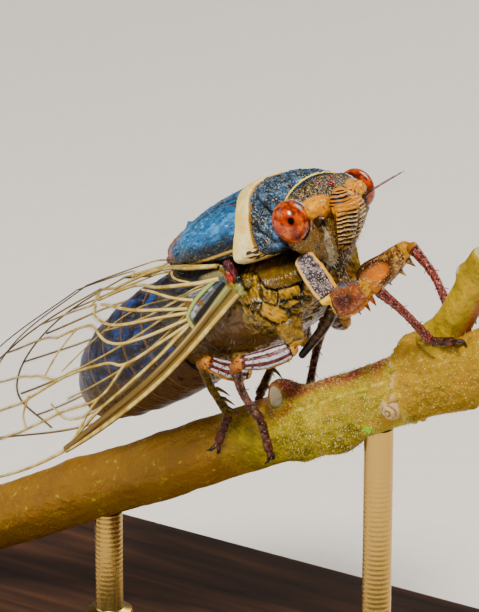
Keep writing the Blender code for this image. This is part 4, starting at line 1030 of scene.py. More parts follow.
# Each vein: its radius at both ends, how green it is, and its places, each out from the root and up
# from the front edge.
FOREWING_VEINS = (
    (0.15, 0.13, 0.0, ((0.0, 0.0), (0.12, 0.0), (0.28, 0.0), (0.49, 0.004))),
    (0.23, 0.17, 0.6, ((0.01, 0.17), (0.06, 0.11), (0.12, 0.075), (0.20, 0.058), (0.31, 0.045),
        (0.40, 0.036), (0.49, 0.014))),
    (0.11, 0.08, 0.2, ((0.12, 0.15), (0.20, 0.125), (0.31, 0.105), (0.40, 0.08), (0.47, 0.03))),
    (0.096, 0.048, 0.0, ((0.49, 0.008), (0.62, 0.004), (0.8, 0.004), (1.0, 0.008))),
    (0.12, 0.104, 1.0, ((0.02, 0.40), (0.08, 0.30), (0.115, 0.22), (0.12, 0.15), (0.12, 0.09))),
    (0.104, 0.056, 0.3, ((0.12, 0.15), (0.20, 0.19), (0.295, 0.215), (0.35, 0.29), (0.50, 0.34),
        (0.70, 0.31), (0.90, 0.27))),
    (0.088, 0.048, 0.1, ((0.295, 0.215), (0.38, 0.14), (0.50, 0.18), (0.68, 0.175), (0.87, 0.12))),
    (0.08, 0.08, 0.0, ((0.38, 0.14), (0.42, 0.10), (0.47, 0.02))),
    (0.104, 0.056, 0.2, ((0.12, 0.19), (0.24, 0.30), (0.33, 0.39), (0.48, 0.60), (0.68, 0.63), (0.89, 0.62))),
    (0.104, 0.056, 0.3, ((0.115, 0.24), (0.19, 0.37), (0.34, 0.51), (0.49, 0.66), (0.62, 0.78),
        (0.78, 0.92))),
    (0.104, 0.08, 0.8, ((0.11, 0.27), (0.16, 0.39), (0.30, 0.58), (0.54, 0.75))),
    (0.096, 0.064, 0.5, ((0.09, 0.31), (0.14, 0.47), (0.24, 0.68), (0.34, 0.77))),
    (0.136, 0.064, 0.15, ((0.015, 0.38), (0.08, 0.52), (0.22, 0.71), (0.49, 0.84), (0.78, 0.92))),
    (0.128, 0.064, 0.0, ((0.01, 0.90), (0.18, 0.955), (0.37, 0.965), (0.57, 0.91), (0.78, 0.92))),
    (0.072, 0.056, 0.1, ((0.31, 0.93), (0.20, 0.81), (0.09, 0.57))),
    (0.056, 0.048, 0.0, ((0.84, 0.03), (0.90, 0.22), (0.915, 0.42), (0.90, 0.62), (0.86, 0.80),
        (0.78, 0.92))),
    (0.064, 0.048, 0.1, ((0.50, 0.34), (0.63, 0.43), (0.78, 0.46), (0.915, 0.47))),
    (0.064, 0.048, 0.0, ((0.62, 0.78), (0.74, 0.78), (0.865, 0.76))),
    (0.056, 0.056, 0.0, ((0.60, 0.18), (0.61, 0.25), (0.60, 0.33))),
    (0.056, 0.056, 0.0, ((0.56, 0.385), (0.55, 0.50), (0.54, 0.61))),
    (0.056, 0.04, 0.0, ((0.0, 0.995), (0.3, 0.997), (0.7, 0.997), (1.0, 0.995))),
    (0.04, 0.04, 0.0, ((0.997, 0.01), (0.997, 0.35), (0.997, 0.7), (0.997, 0.99))))


def wing_flat(u, v):
    """A rough flat layout of the wing in millimetres, in which its veins run smoothly."""
    return np.stack([u * WING_LENGTH, v * (ROOT_WIDTH + (TIP_WIDTH - ROOT_WIDTH) * np.minimum(1, u * 1.6))],
        axis=-1)


def wing_unflat(flat):
    """Back from the flat layout to places out from the root and up from the front edge."""
    u = np.clip(flat[..., 0] / WING_LENGTH, 0, 1)
    width = ROOT_WIDTH + (TIP_WIDTH - ROOT_WIDTH) * np.minimum(1, u * 1.6)
    return u, np.clip(flat[..., 1] / width, 0, 1)


def wing_surface(u, v):
    """The right forewing's middle surface."""
    low_root, high_root, low_tip, high_tip = (np.array(p) for p in (COSTA[0], INNER[0], COSTA[-1], INNER[-1]))
    a, b = u[..., None], v[..., None]
    root = (1 - b) * low_root + b * high_root
    blend = (1 - a) * root + a * ((1 - b) * low_tip + b * high_tip)
    swell = np.sin(np.pi * v) * np.sin(np.pi * np.minimum(1, (u + 0.08) / 1.08) ** 0.8)
    edges = (1 - b) * smooth(COSTA, u) + b * smooth(INNER, u) + (1 - a) * root + a * smooth(OUTER, v)
    return edges - blend + WING_BULGE * swell[..., None] * BULGE_AIM


def wing_out(u, v):
    """Outward direction of the right forewing's surface."""
    step = 0.01
    du = wing_surface(np.minimum(1, u + step), v) - wing_surface(np.maximum(0, u - step), v)
    dv = wing_surface(u, np.minimum(1, v + step)) - wing_surface(u, np.maximum(0, v - step))
    out = unit(np.cross(du, dv))
    return out * np.sign((out * BULGE_AIM).sum(axis=-1, keepdims=True))


def vein_lines(veins):
    """Each vein's smooth line in the flat layout, with its radius and greenness along it."""
    lines = []
    for thick, thin, green, places in veins:
        corners = np.array(places)
        flat = smooth(wing_flat(corners[:, 0], corners[:, 1]), np.linspace(0, 1, 12 * len(places)))
        lines.append((flat, np.linspace(thick, thin, len(flat)), green))
    return lines


def off_veins(flat, lines):
    """How far each place of the layout lies from the nearest vein, in millimetres."""
    best = np.full(flat.shape[:-1], 9.0)
    for line, *_ in lines:
        for (ax, ay), (bx, by) in zip(line, line[1:]):
            run = np.array((bx - ax, by - ay))
            near = flat - (ax, ay)
            share = np.clip((near @ run) / (run @ run + 1e-9), 0, 1)
            best = np.minimum(best, np.linalg.norm(near - share[..., None] * run, axis=-1))
    return best


def mirrored(points, side):
    """The right wing's points, or the left's for a side of minus one."""
    return points * (1, side, 1)


def off_band(u, v):
    """How far up past the thick front band a place lies, as a share of the wing's width."""
    return v - np.interp(u, (0.0, 0.06, 0.12, 0.2, 0.31, 0.4, 0.49), (0.2, 0.13, 0.09, 0.068, 0.053, 0.042,
        0.014))


def membrane(name, u, v, lines, drop, side):
    """A thin closed sheet over the given places, hung a little slack between its veins."""
    off = off_veins(wing_flat(u, v), lines)
    middle, out = wing_surface(u, v), wing_out(u, v)
    pleat = grain_at(middle * (0.25, 1, 1), 0.9, 31.0)
    slack = MEMBRANE_SAG * (1 - mound(off, 0.9)) * (1 + 0.4 * pleat) + drop
    middle = middle - out * slack[..., None]
    top = mirrored(middle + out * MEMBRANE_HALF, side)
    under = mirrored(middle - out * MEMBRANE_HALF, side)
    past = off_band(u, v) * wing_flat(u, 1 + 0 * v)[..., 1]
    margin = (1 - step_up(past, 0.0, 0.06)) * (1 - step_up(u, 0.47, 0.5))
    wedge = step_up(u, 0.0, 0.02) * (1 - step_up(u, 0.1, 0.13))
    cleft = step_up(past, 0.0, 0.06) * (1 - step_up(past, 0.2, 0.3)) * wedge
    knot = mound(np.hypot((u - 0.122) * WING_LENGTH, (v - 0.15) * 5), 0.25)
    cell = step_up(past, 0.2, 0.3) * (1 - step_up(v, 0.36, 0.42)) * (1 - step_up(u, 0.105, 0.12))
    blush = grain_at(middle, 0.5, 43.0)
    # Over the basal cell the blue-grey colour and the whiter shine are painted sheen and reflections; the
    # amber spots are the film's own colour.
    marks = {"near": mound(off, 0.13), "root": (1 - step_up(u, 0.04, 0.07)) * step_up(v, 0.36,
        0.4) * (1 - step_up(v, 0.5, 0.7)), "margin": margin, "cleft": np.maximum(cleft, knot), "cell": cell,
        "amber": cell * step_up(blush, 0.05, 0.3), "shine": cell * step_up(-blush, 0.05, 0.3)}
    both = np.concatenate([top, under[:, ::-1]], axis=1)
    values = {key: np.concatenate([value, value[:, ::-1]], axis=1) for key, value in marks.items()}
    return grid_mesh(name, to_world(both), values, ("sheet", "sheet"))


def clear_membrane():
    """Dry chitin film: colourless, glassy and wrinkled, a little browner along the veins, with painted sheen
    and reflections over the basal cell.
    """
    finish, tree, shader = blank_finish("wing_film", {"Roughness": 0.14, "Specular IOR Level": 0.25,
        "Thin Film Thickness": 340.0})
    place = insect_space(tree)
    paint = painted(tree, place, (1.2, ((0.35, "8E8E70"), (0.65, "8A7440"))), (("near", 0.1, 0.9, "6E4A1A"),
        ("root", 0.2, 0.9, "8A8458"), ("cell", 0.2, 0.8, "5E7690"), ("amber", 0.2, 0.8, "8A5A1E"),
        ("shine", 0.2, 0.8, "B8C8D0"), ("margin", 0.2, 0.8, "8E741A"), ("cleft", 0.2, 0.8, "060403")))
    tree.links.new(paint, shader.inputs["Base Color"])
    cover = BARE_COVER
    for mark, most in FILM_COVERS:
        value = add(tree, "ShaderNodeAttribute", {"attribute_name": mark}).outputs["Fac"]
        value = add(tree, "ShaderNodeMath", {"operation": "MULTIPLY"}, {0: value, 1: most}).outputs[0]
        cover = add(tree, "ShaderNodeMath", {"operation": "MAXIMUM"}, {0: cover, 1: value}).outputs[0]
    tree.links.new(cover, shader.inputs["Alpha"])
    relief(tree, shader, place, (("noise", 0.5, 0.06, 3.0), ("noise", 0.12, 0.008, 2.0)))
    return finish


def vein_tree():
    """Node tree that sweeps a round tube along each line, as thick as the line's own mark says."""
    tree = bpy.data.node_groups.new("vein_tubes", "GeometryNodeTree")
    tree.interface.new_socket("Geometry", in_out="INPUT", socket_type="NodeSocketGeometry")
    tree.interface.new_socket("Finish", in_out="INPUT", socket_type="NodeSocketMaterial")
    tree.interface.new_socket("Geometry", in_out="OUTPUT", socket_type="NodeSocketGeometry")
    given = add(tree, "NodeGroupInput").outputs
    curve = add(tree, "GeometryNodeMeshToCurve", None, {"Mesh": given["Geometry"]})
    width = add(tree, "GeometryNodeInputNamedAttribute", {"data_type": "FLOAT"}, {"Name": "thickness"})
    sized = add(tree, "GeometryNodeSetCurveRadius", None, {"Curve": curve, "Radius": width})
    ring = add(tree, "GeometryNodeCurvePrimitiveCircle", None, {"Resolution": 10, "Radius": 1.0})
    tube = add(tree, "GeometryNodeCurveToMesh", None, {"Curve": sized, "Profile Curve": ring,
        "Fill Caps": True})
    if "Scale" in tube.inputs:
        tree.links.new(width.outputs[0], tube.inputs["Scale"])
    soft = add(tree, "GeometryNodeSetShadeSmooth", None, {"Geometry": tube})
    real = add(tree, "GeometryNodeRealizeInstances", None, {"Geometry": soft})
    dressed = add(tree, "GeometryNodeSetMaterial", None, {"Geometry": real, "Material": given["Finish"]})
    add(tree, "NodeGroupOutput", None, {"Geometry": dressed})
    return tree


def veins(name, lines, drop, side, finish):
    """The raised tubes of a wing's veins; the first two are the double front rod."""
    points, edges, marks = [], [], {"thickness": [], "green": [], "out": [], "band": []}
    for number, (line, radius, green) in enumerate(lines):
        u, v = wing_unflat(line)
        path = mirrored(wing_surface(u, v) - wing_out(u, v) * drop, side)
        first = len(points)
        points += (to_world(path) * MM).tolist()
        edges += [(first + i, first + i + 1) for i in range(len(path) - 1)]
        marks["thickness"] += (radius * MM).tolist()
        marks["green"] += (green * (1 - step_up(u, 0.04, 0.12 if number < 2 else 0.3))).tolist()
        marks["out"] += u.tolist()
        marks["band"] += (0 * u + (number == 1) * (radius[0] > 0.13)).tolist()
    mesh = bpy.data.meshes.new(name)
    mesh.from_pydata(points, edges, [])
    set_marks(mesh, marks)
    settle(placed(name, grown_mesh(mesh, tube_tree, {"Finish": finish})), finish, "wing")


def vein_shell():
    """Tough tubes of insect shell: pale tan like horn, greenish near the root, satin, with painted highlights
    above and painted shade below.
    """
    settings = {"Roughness": 0.32, "Specular IOR Level": 0.35, "Coat Weight": 0.15, "Coat Roughness": 0.25}
    ground = (0.7, ((0.35, "A88420"), (0.5, "CCAE48"), (0.65, "E8D488")))
    # The two facing layers are painted light: a pale highlight on the side turned up and dark shade on the
    # side turned down.
    layers = (("band", 0.3, 0.9, "6E5208"), ("facing", (0.2, -0.75, 0.62), 0.8, 0.99, "DCC888"),
        ("green", 0.3, 1.0, "A2B464"), ("facing", (0.3, 0.2, -0.92), 0.1, 0.8, "5A3404"),
        ("noise", 0.18, 0.6, 0.72, "8A5208"), ("out", 0.55, 0.95, "4A3418"))
    return painted_finish("wing_vein_shell", settings, ground, layers, (("noise", 0.15, 0.02, 4.0),))


film_finish = clear_membrane()
vein_finish = vein_shell()
tube_tree = vein_tree()
out_from_root = np.concatenate([np.linspace(0, 0.16, 80)[:-1], np.linspace(0.16, 1, 130)])
wing_u, wing_v = np.meshgrid(out_from_root, np.linspace(0.004, 0.997, 96), indexing="ij")
forewing_lines = vein_lines(FOREWING_VEINS)
for word, side in (("right", 1), ("left", -1)):
    sheet = membrane("forewing_film_" + word, wing_u, wing_v, forewing_lines, 0.0, side)
    settle(sheet, film_finish, "wing", "forewing_" + word)
    veins("forewing_veins_" + word, forewing_lines, 0.0, side, vein_finish)

# The hindwings
# Shorter wings of the same film with thin veins, tucked under the forewings.
HINDWING_DROP = 0.9
HINDWING_LOW = ((0.05, 0.2), (0.2, 0.12), (0.38, 0.09), (0.5, 0.13), (0.56, 0.26))
HINDWING_HIGH = ((0.05, 0.34), (0.14, 0.6), (0.27, 0.74), (0.42, 0.72), (0.56, 0.44))
HINDWING_VEINS = (
    (0.1, 0.05, 0.3, ((0.05, 0.2), (0.2, 0.125), (0.38, 0.095), (0.5, 0.135), (0.56, 0.26))),
    (0.08, 0.04, 0.3, ((0.05, 0.24), (0.28, 0.2), (0.5, 0.24))),
    (0.08, 0.04, 0.3, ((0.05, 0.27), (0.28, 0.36), (0.53, 0.4))),
    (0.08, 0.04, 0.3, ((0.05, 0.3), (0.24, 0.52), (0.48, 0.62))),
    (0.05, 0.04, 0.1, ((0.05, 0.34), (0.14, 0.6), (0.27, 0.74), (0.42, 0.72), (0.56, 0.44))))
low_edge, high_edge = (smooth(edge, np.linspace(0, 1, 120)) for edge in (HINDWING_LOW, HINDWING_HIGH))
across = np.linspace(0, 1, 60)[None, :, None]
hind_places = low_edge[:, None] * (1 - across) + high_edge[:, None] * across
hindwing_lines = vein_lines(HINDWING_VEINS)
for word, side in (("right", 1), ("left", -1)):
    sheet = membrane("hindwing_film_" + word, hind_places[..., 0], hind_places[..., 1], hindwing_lines,
        HINDWING_DROP, side)
    settle(sheet, film_finish, "wing", "hindwing_" + word)
    veins("hindwing_veins_" + word, hindwing_lines, HINDWING_DROP, side, vein_finish)

# The wing hinges
# Small hard knobs and folds where the forewing is jointed to the thorax: wine-red skin over a
# black cleft, with a pale green knob at the front edge's foot.
HINGE_KNOBS = (((-0.85, -4.5, -3.45), (0.34, 0.2, 0.36), "wine"),
    ((-0.62, -4.55, -3.8), (0.2, 0.16, 0.5), "wine"),
    ((-0.95, -4.6, -4.0), (0.2, 0.16, 0.42), "red"),
    ((-1.2, -4.6, -3.7), (0.24, 0.14, 0.5), "tan"),
    ((-0.5, -4.5, -4.35), (0.2, 0.2, 0.34), "black"),
    ((-0.62, -4.62, -4.78), (0.22, 0.2, 0.42), "pale"),
    ((-0.2, -4.35, -4.6), (0.3, 0.2, 0.3), "tan"))
HINGE_TONES = {"red": ("7A0C08", "C02410"), "wine": ("220408", "5E1018"), "pale": ("6A7030", "A4A85C"),
    "tan": ("403008", "7E6410"), "black": ("050404", "1A1410")}


def pebble_rows(centre, radii, seed, rough=0.08, rows=40, sides=56):
    """An ellipsoid with its poles along x and a slightly uneven skin."""
    polar = np.linspace(0.02, np.pi - 0.02, rows)[:, None]
    turn = full_turn(sides)[None, :]
    ball = np.stack(np.broadcast_arrays(np.cos(polar), np.sin(polar) * np.cos(turn),
        np.sin(polar) * np.sin(turn)), axis=-1)
    swell = 1 + rough * grain_at(ball, 0.5, seed)
    return np.array(centre) + ball * np.array(radii) * swell[..., None]


def soft_shell(name, dark, light):
    """Softer jointed insect skin in two close tones, moist-looking."""
    settings = {"Roughness": 0.24, "Specular IOR Level": 0.4, "Coat Weight": 0.3, "Coat Roughness": 0.12}
    ground = (0.25, ((0.4, dark), (0.6, light)))
    return painted_finish(name, settings, ground, (("noise", 0.12, 0.6, 0.7, dark),),
        (("noise", 0.18, 0.04, 4.0),))


hinge_finishes = {tone: soft_shell("hinge_" + tone, *pair) for tone, pair in HINGE_TONES.items()}
for word, side in (("right", 1), ("left", -1)):
    for k, (centre, radii, tone) in enumerate(HINGE_KNOBS):
        knob = grid_mesh("hinge_" + tone + "_" + word,
            to_world(mirrored(pebble_rows(centre, radii, k, 0.22), side)))
        settle(knob, hinge_finishes[tone], "wing")

# The head
# Short and broad, hard shell: blue-black with crowded cream granules on the crown, brown and
# powdery below, with a pale line round each eye.
CROWN = ((3.0, -1.1), (3.75, -0.98), (4.15, -1.5), (4.35, -2.05), (4.0, -3.0), (3.7, -4.2), (3.1, -5.35),
    (2.5, -5.0), (2.3, -3.0))
CHEEK = ((2.6, -1.65), (3.0, -1.5), (3.5, -1.8), (3.8, -2.4), (3.75, -3.0), (3.5, -3.6), (3.1, -3.95),
    (2.6, -3.8), (2.3, -2.8))
HEAD_HALF = 3.3
EYE_CENTRE = np.array((3.2, 3.3, -2.42))
EYE_RADII = np.array((0.98, 0.95, 1.15))
LEDGE_CENTRE = np.array((3.88, 1.85, -2.35))
LEDGE_RADII = np.array((0.66, 0.98, 0.5))


def head_rows():
    """The head's skin, ring by ring from its right side to its left, with its marks."""
    tilt = np.linspace(-np.pi / 2, np.pi / 2, 230)
    y = HEAD_HALF * (0.75 * np.sin(tilt) + 0.25 * tilt / (np.pi / 2))
    share = np.abs(y / HEAD_HALF) ** 1.7
    loop = np.array(CROWN)[None] * (1 - share)[:, None, None] + np.array(CHEEK)[None] * share[:, None, None]
    count = loop.shape[1]
    place = np.linspace(0, count, 260, endpoint=False)
    i = place.astype(int)
    f = (place - i)[None, :, None]
    before, a, b, after = (loop[:, (i + k) % count] for k in (-1, 0, 1, 2))
    bend, twist = 2 * before - 5 * a + 4 * b - after, 3 * a - before - 3 * b + after
    flat = 0.5 * (2 * a + (b - before) * f + bend * f ** 2 + twist * f ** 3)
    rows = np.stack([flat[..., 0], np.broadcast_to(y[:, None], flat.shape[:2]), flat[..., 1]], axis=-1)
    mirror = rows * (1, 0, 1) + np.abs(rows) * (0, 1, 0)
    z, across = rows[..., 2], np.abs(rows[..., 1])
    to_eye = np.linalg.norm((mirror - EYE_CENTRE) / EYE_RADII, axis=-1)
    to_ledge = np.linalg.norm((mirror - LEDGE_CENTRE) / LEDGE_RADII, axis=-1)
    crown = step_up(z, -2.3, -1.85)
    grain = grain_at(rows, 0.13, 3.0)
    socket = mound(np.linalg.norm(mirror - (3.95, 1.75, -3.1), axis=-1), 0.36)
    crease = mound(across - 1.45 - 0.2 * (z + 3), 0.09) * (1 - step_up(z, -3.2, -2.6))
    height = 0.03 * grain * crown + 0.035 * grain_at(rows, 0.4, 6.0) - 0.16 * socket - 0.1 * crease
    height = height + 0.04 * mound(to_eye - 1.07, 0.04) - 0.05 * mound(to_eye - 1.02, 0.03)
    height = height - 0.06 * mound(rows[..., 1], 0.08) * crown
    marks = {"crown": crown, "orbit": mound(to_eye - 1.12, 0.055) * step_up(z, -3.6, -3.1),
        "ring": mound(to_eye - 1.03, 0.045),
        "amber": np.clip(mound(np.maximum(to_ledge - 1, 0), 0.5) * step_up(rows[..., 0], 3.4, 3.8), 0, 1),
        "socket": np.clip(socket + crease, 0, 1),
        "powder": (1 - step_up(z, -4.3, -3.6)) * (1 - step_up(across, 2.2, 2.8)),
        "gena": 1 - step_up(z + 0.15 * grain_at(rows, 0.5, 9.0), -3.4, -2.9),
        "down": 0.1 + 0.9 * (1 - step_up(z, -4.2, -3.5))}
    return to_world(raised(rows, height)), marks


def head_shell():
    """Hard granular insect shell: blue-black crown with cream granules, brown powdery cheeks."""
    settings = {"Roughness": 0.34, "Specular IOR Level": 0.22}
    ground = (0.22, ((0.4, "241002"), (0.5, "5A340A"), (0.6, "946420")))
    layers = (("powder", 0.3, 1.6, "6E5A34"), ("noise", 0.11, 0.62, 0.68, "B8924A"),
        ("crown", 0.3, 0.8, "03070F"), ("bloom", 0.1, 0.6, 0.66, "DCA41C"),
        ("bloom", 0.075, 0.64, 0.69, "B8C8D0"), ("noise", 0.3, 0.57, 0.63, "08203C"),
        ("gena", 0.2, 1.3, "7A5818"), ("noise", 0.35, 0.54, 0.66, "4A2E0A"),
        ("bloom", 0.08, 0.62, 0.7, "D0B46C"), ("amber", 0.3, 0.8, "CE8C00"),
        ("socket", 0.35, 0.9, "1E1008"), ("orbit", 0.4, 0.8, "8CA4BC"), ("ring", 0.4, 0.8, "14161A"))
    return painted_finish("head_shell", settings, ground, layers,
        (("noise", 0.16, 0.06, 5.0), ("cells", 0.1, 0.03, 0)))


head = skinned("head_shell", head_rows(), head_shell(), "head_shell", "head")
hairs("head_down", head, "head_shell", 1.5e7, 0.26, 0.007, 0.6, (0.1, 0.0, -0.8), 21)

# The brow ledges
# A smooth waxy orange lobe over the foot of each feeler, between the eye and the face.


def ledge_rows():
    """A squarish lobe, flattened below."""
    rows = pebble_rows((0, 0, 0), (1, 1, 1), 5.0, 0.12, 60, 80)
    rows = np.sign(rows) * np.abs(rows) ** 0.78
    rows = rows + 0.05 * grain_at(rows, 0.35, 3.0)[..., None] * rows
    rows[..., 0] += 0.12 * (1 - np.abs(rows[..., 1])) - 0.1
    return LEDGE_CENTRE + rows * LEDGE_RADII


def amber_shell():
    """Smooth insect shell, orange right through like amber, waxed and glossy."""
    settings = {"Roughness": 0.22, "Specular IOR Level": 0.2, "Coat Weight": 0.2, "Coat Roughness": 0.05}
    ground = (0.3, ((0.38, "BC6E00"), (0.5, "D68A00"), (0.62, "EAA600")))
    layers = (("noise", 0.16, 0.58, 0.7, "A45400"), ("bloom", 0.1, 0.66, 0.74, "F4CC40"))
    return painted_finish("amber_shell", settings, ground, layers,
        (("noise", 0.2, 0.06, 5.0), ("cells", 0.12, 0.01, 0)))


amber_finish = amber_shell()
for word, side in (("left", 1), ("right", -1)):
    settle(grid_mesh("brow_ledge_" + word, to_world(ledge_rows() * (1, side, 1))), amber_finish, "head_shell")

# The eyes
# Bulging compound eyes of many thousand lenses too small to see: glossy orange-red over brown
# mottling, with the dark spot that such an eye shows where it looks straight at the viewer.
EYE_SPOT = np.array((0.617, 0.784, 0.069))
LENS_SPACING = 0.035
LENS_RELIEF = 0.0015


def eye_rows():
    """The left eye, with its dark spot and dark hind rim."""
    rows = pebble_rows((0, 0, 0), (1, 1, 1), 2.0, 0.0, 90, 120)
    spot = np.linalg.norm(rows - unit(EYE_SPOT), axis=-1)
    mottle = step_up(grain_at(rows, 0.3, 8.0) + 0.6 * grain_at(rows, 0.14, 5.0), -0.2, 0.5)
    marks = {"spot": mound(spot, 0.25), "rim": 1 - step_up(rows[..., 1], -0.5, -0.2),
        "mottle": mottle * (1 - 0.6 * mound(spot, 0.3))}
    return EYE_CENTRE + rows * EYE_RADII, marks


def eye_surface():
    """Clear corneal lenses over orange-red pigment: deep colour under a wet-looking gloss."""
    finish, tree, shader = blank_finish("eye_cornea", {"Roughness": 0.2, "Specular IOR Level": 0.15,
        "Coat Weight": 0.75, "Coat Roughness": 0.03, "Coat IOR": 1.38, "Subsurface Weight": 0.08,
        "Subsurface Scale": 0.0003})
    place = insect_space(tree)
    paint = painted(tree, place, (0.5, ((0.38, "8A2400"), (0.5, "B43E00"), (0.62, "D06200"))),
        (("mottle", 0.1, 1.3, "541000"), ("noise", 0.13, 0.54, 0.68, "701800"), ("rim", 0.3, 1.1, "401000"),
        ("spot", 0.35, 0.75, "080201")))
    tree.links.new(paint, shader.inputs["Base Color"])
    lens = add(tree, "ShaderNodeTexVoronoi", {"feature": "F1"},
        {"Vector": place, "Scale": 1 / LENS_SPACING}).outputs["Distance"]
    bump = add(tree, "ShaderNodeBump", {"invert": True}, {"Height": lens, "Distance": LENS_RELIEF * MM,
        "Strength": 1.0})
    tree.links.new(bump.outputs[0], shader.inputs["Normal"])
    return finish


eye_finish = eye_surface()
eye_points, eye_marks = eye_rows()
for word, side in (("left", 1), ("right", -1)):
    settle(grid_mesh("eye_" + word + "_cornea", to_world(eye_points * (1, side, 1)), eye_marks), eye_finish,
        "eye", "eye_" + word)

# The three small eyes
# Glassy crimson beads on the dark crown.
BEADS = ((3.78, 0.6, -1.2), (3.78, -0.6, -1.2), (4.16, 0.0, -1.5))


def bead_glass():
    """A single clear lens over crimson pigment, like a drop of garnet glass, darker in its depth."""
    settings = {"Roughness": 0.08, "Coat Weight": 0.8, "Coat Roughness": 0.03}
    ground = (0.2, ((0.4, "5A0010"), (0.6, "960818")))
    layers = (("noise", 0.1, 0.6, 0.7, "2E0008"),)
    return painted_finish("bead_cornea", settings, ground, layers)


bead_finish = bead_glass()
for k, centre in enumerate(BEADS):
    settle(grid_mesh("small_eye_" + str(k + 1),
        to_world(pebble_rows(centre, (0.19, 0.2, 0.17), 0.0, 0.0, 24, 32))), bead_finish, "head_shell")

# The face
# The swollen pump plate: orange and crossed by fine ribs with dark grooves down each flank, a
# smooth hairy strip down its middle, and a darker speckled plate below that ends at the beak.
FACE = ((-1.75, 4.55, 0.3), (-2.2, 5.1, 0.85), (-2.75, 5.28, 1.15), (-3.4, 5.1, 1.25), (-4.05, 4.7, 1.12),
    (-4.65, 4.18, 0.8), (-5.2, 3.6, 0.54), (-5.8, 3.05, 0.4), (-6.6, 2.5, 0.26))
RIB_TOP = -2.1
RIB_LOW = -4.85
RIBS = 13


def face_rows():
    """The face's skin from its top to the foot of the beak, ribbed on both flanks."""
    share = np.linspace(0, 1, 330)
    read = smooth(FACE, share)
    z, front, half = (read[:, k:k + 1] for k in range(3))
    depth = 0.75 - 0.35 * share[:, None]
    close = np.sqrt(np.clip(np.minimum(share / 0.02, (1 - share) / 0.02), 0.02, 1))[:, None]
    turn = full_turn(180)[None, :]
    x = front - depth + depth * np.cos(turn) * close
    y = half * np.sin(turn) * close
    rows = np.stack(np.broadcast_arrays(x, y, z), axis=-1)
    flank = np.abs(np.degrees(np.where(turn > np.pi, turn - 2 * np.pi, turn)))
    sway = 0.07 * grain_at(rows, 0.6, 3.0) - 0.0026 * (flank - 50)
    phase = (rows[..., 2] + sway - RIB_TOP) / (RIB_LOW - RIB_TOP)
    ribbed = step_up(phase, -0.02, 0.06) * (1 - step_up(phase, 0.95, 1.02))
    ribbed = ribbed * (0.15 + 0.85 * step_up(flank, 2, 9)) * (1 - step_up(flank, 84, 98))
    wave = np.cos(2 * np.pi * RIBS * phase)
    seam = mound(rows[..., 2] + 4.98 - 0.25 * np.cos(turn), 0.05)
    edge = mound(flank - 104, 9)
    border = step_up(flank, 84, 96) * (1 - step_up(rows[..., 2], -3.1, -2.6))
    lower = 1 - step_up(rows[..., 2], -5.1, -4.8)
    rough = grain_at(rows, 0.16, 5.0)
    warm = step_up(rows[..., 2] + 0.3 * grain_at(rows, 0.6, 9.0), -3.3, -2.8)
    ribbed = ribbed * (1 - 0.6 * warm)
    height = 0.07 * ribbed * wave * (1 + grain_at(rows, 0.25, 6.0)) - 0.1 * seam - 0.05 * edge
    height = height + 0.03 * rough * (0.6 + lower) + 0.05 * grain_at(rows, 0.4, 2.0)
    stripe = (1 - step_up(np.abs(rows[..., 2] + 2.25), 0.28, 0.42)) * step_up(wave, -0.5,
        0.1) * (1 - mound(flank, 12))
    hairy = 0.5 * (1 - step_up(flank, 25, 60)) * (1 - 0.6 * warm) + 0.25 * lower
    # The crest mark lays pale cream on the rib tops: their own paler colour, brightened as a painted
    # highlight.
    marks = {"groove": ribbed * step_up(-wave, 0.0, 0.75), "crest": ribbed * step_up(wave, 0.25,
        0.95) * (1 - warm), "warm": warm, "stripe": np.clip(stripe, 0, 1), "lower": lower, "seam": seam,
        "border": 0.8 * border, "down": hairy}
    return to_world(raised(rows, height)), marks


def ribbed_shell():
    """Waxed insect shell: orange above and tan below, pale on the ribs with painted highlights on their tops,
    red-brown in the grooves.
    """
    settings = {"Roughness": 0.22, "Specular IOR Level": 0.28, "Coat Weight": 0.1, "Coat Roughness": 0.08}
    ground = (0.3, ((0.38, "5A3404"), (0.5, "8A5C10"), (0.62, "B08A2A")))
    layers = (("warm", 0.2, 0.8, "D08400"), ("crest", 0.5, 1.2, "F8E2B0"),
        ("noise", 0.13, 0.6, 0.7, "F0B020"), ("border", 0.3, 0.9, "4A2C08"), ("lower", 0.3, 1.0, "1E1004"),
        ("bloom", 0.09, 0.62, 0.68, "C0962E"), ("stripe", 0.4, 0.8, "080A22"),
        ("groove", 0.25, 0.7, "380A02"), ("seam", 0.35, 0.9, "180C06"))
    return painted_finish("ribbed_face_shell", settings, ground, layers,
        (("noise", 0.14, 0.03, 5.0), ("cells", 0.08, 0.01, 0)))


face = skinned("face_plate", face_rows(), ribbed_shell(), "face_shell", "face")
hairs("face_hairs", face, "face_shell", 1.6e7, 0.42, 0.009, 0.5, (0.2, 0.0, -0.5), 22)

# The cheek plates
# A pair of narrow pads beside the face, powdery grey and hairy, from the feeler down to the beak.
CHEEK_PATH = ((3.6, 1.6, -3.2), (3.35, 1.45, -3.95), (3.0, 1.1, -4.8), (2.75, 0.72, -5.55))
CHEEK_WIDTH = (0.22, 0.42, 0.4, 0.2)
END_CROWDING = 0.85             # how much closer a limb's rings are near its ends
ROUND_END = 0.8                 # length of a limb's end cap, as a share of its radius
SQUARE_END = 0.35


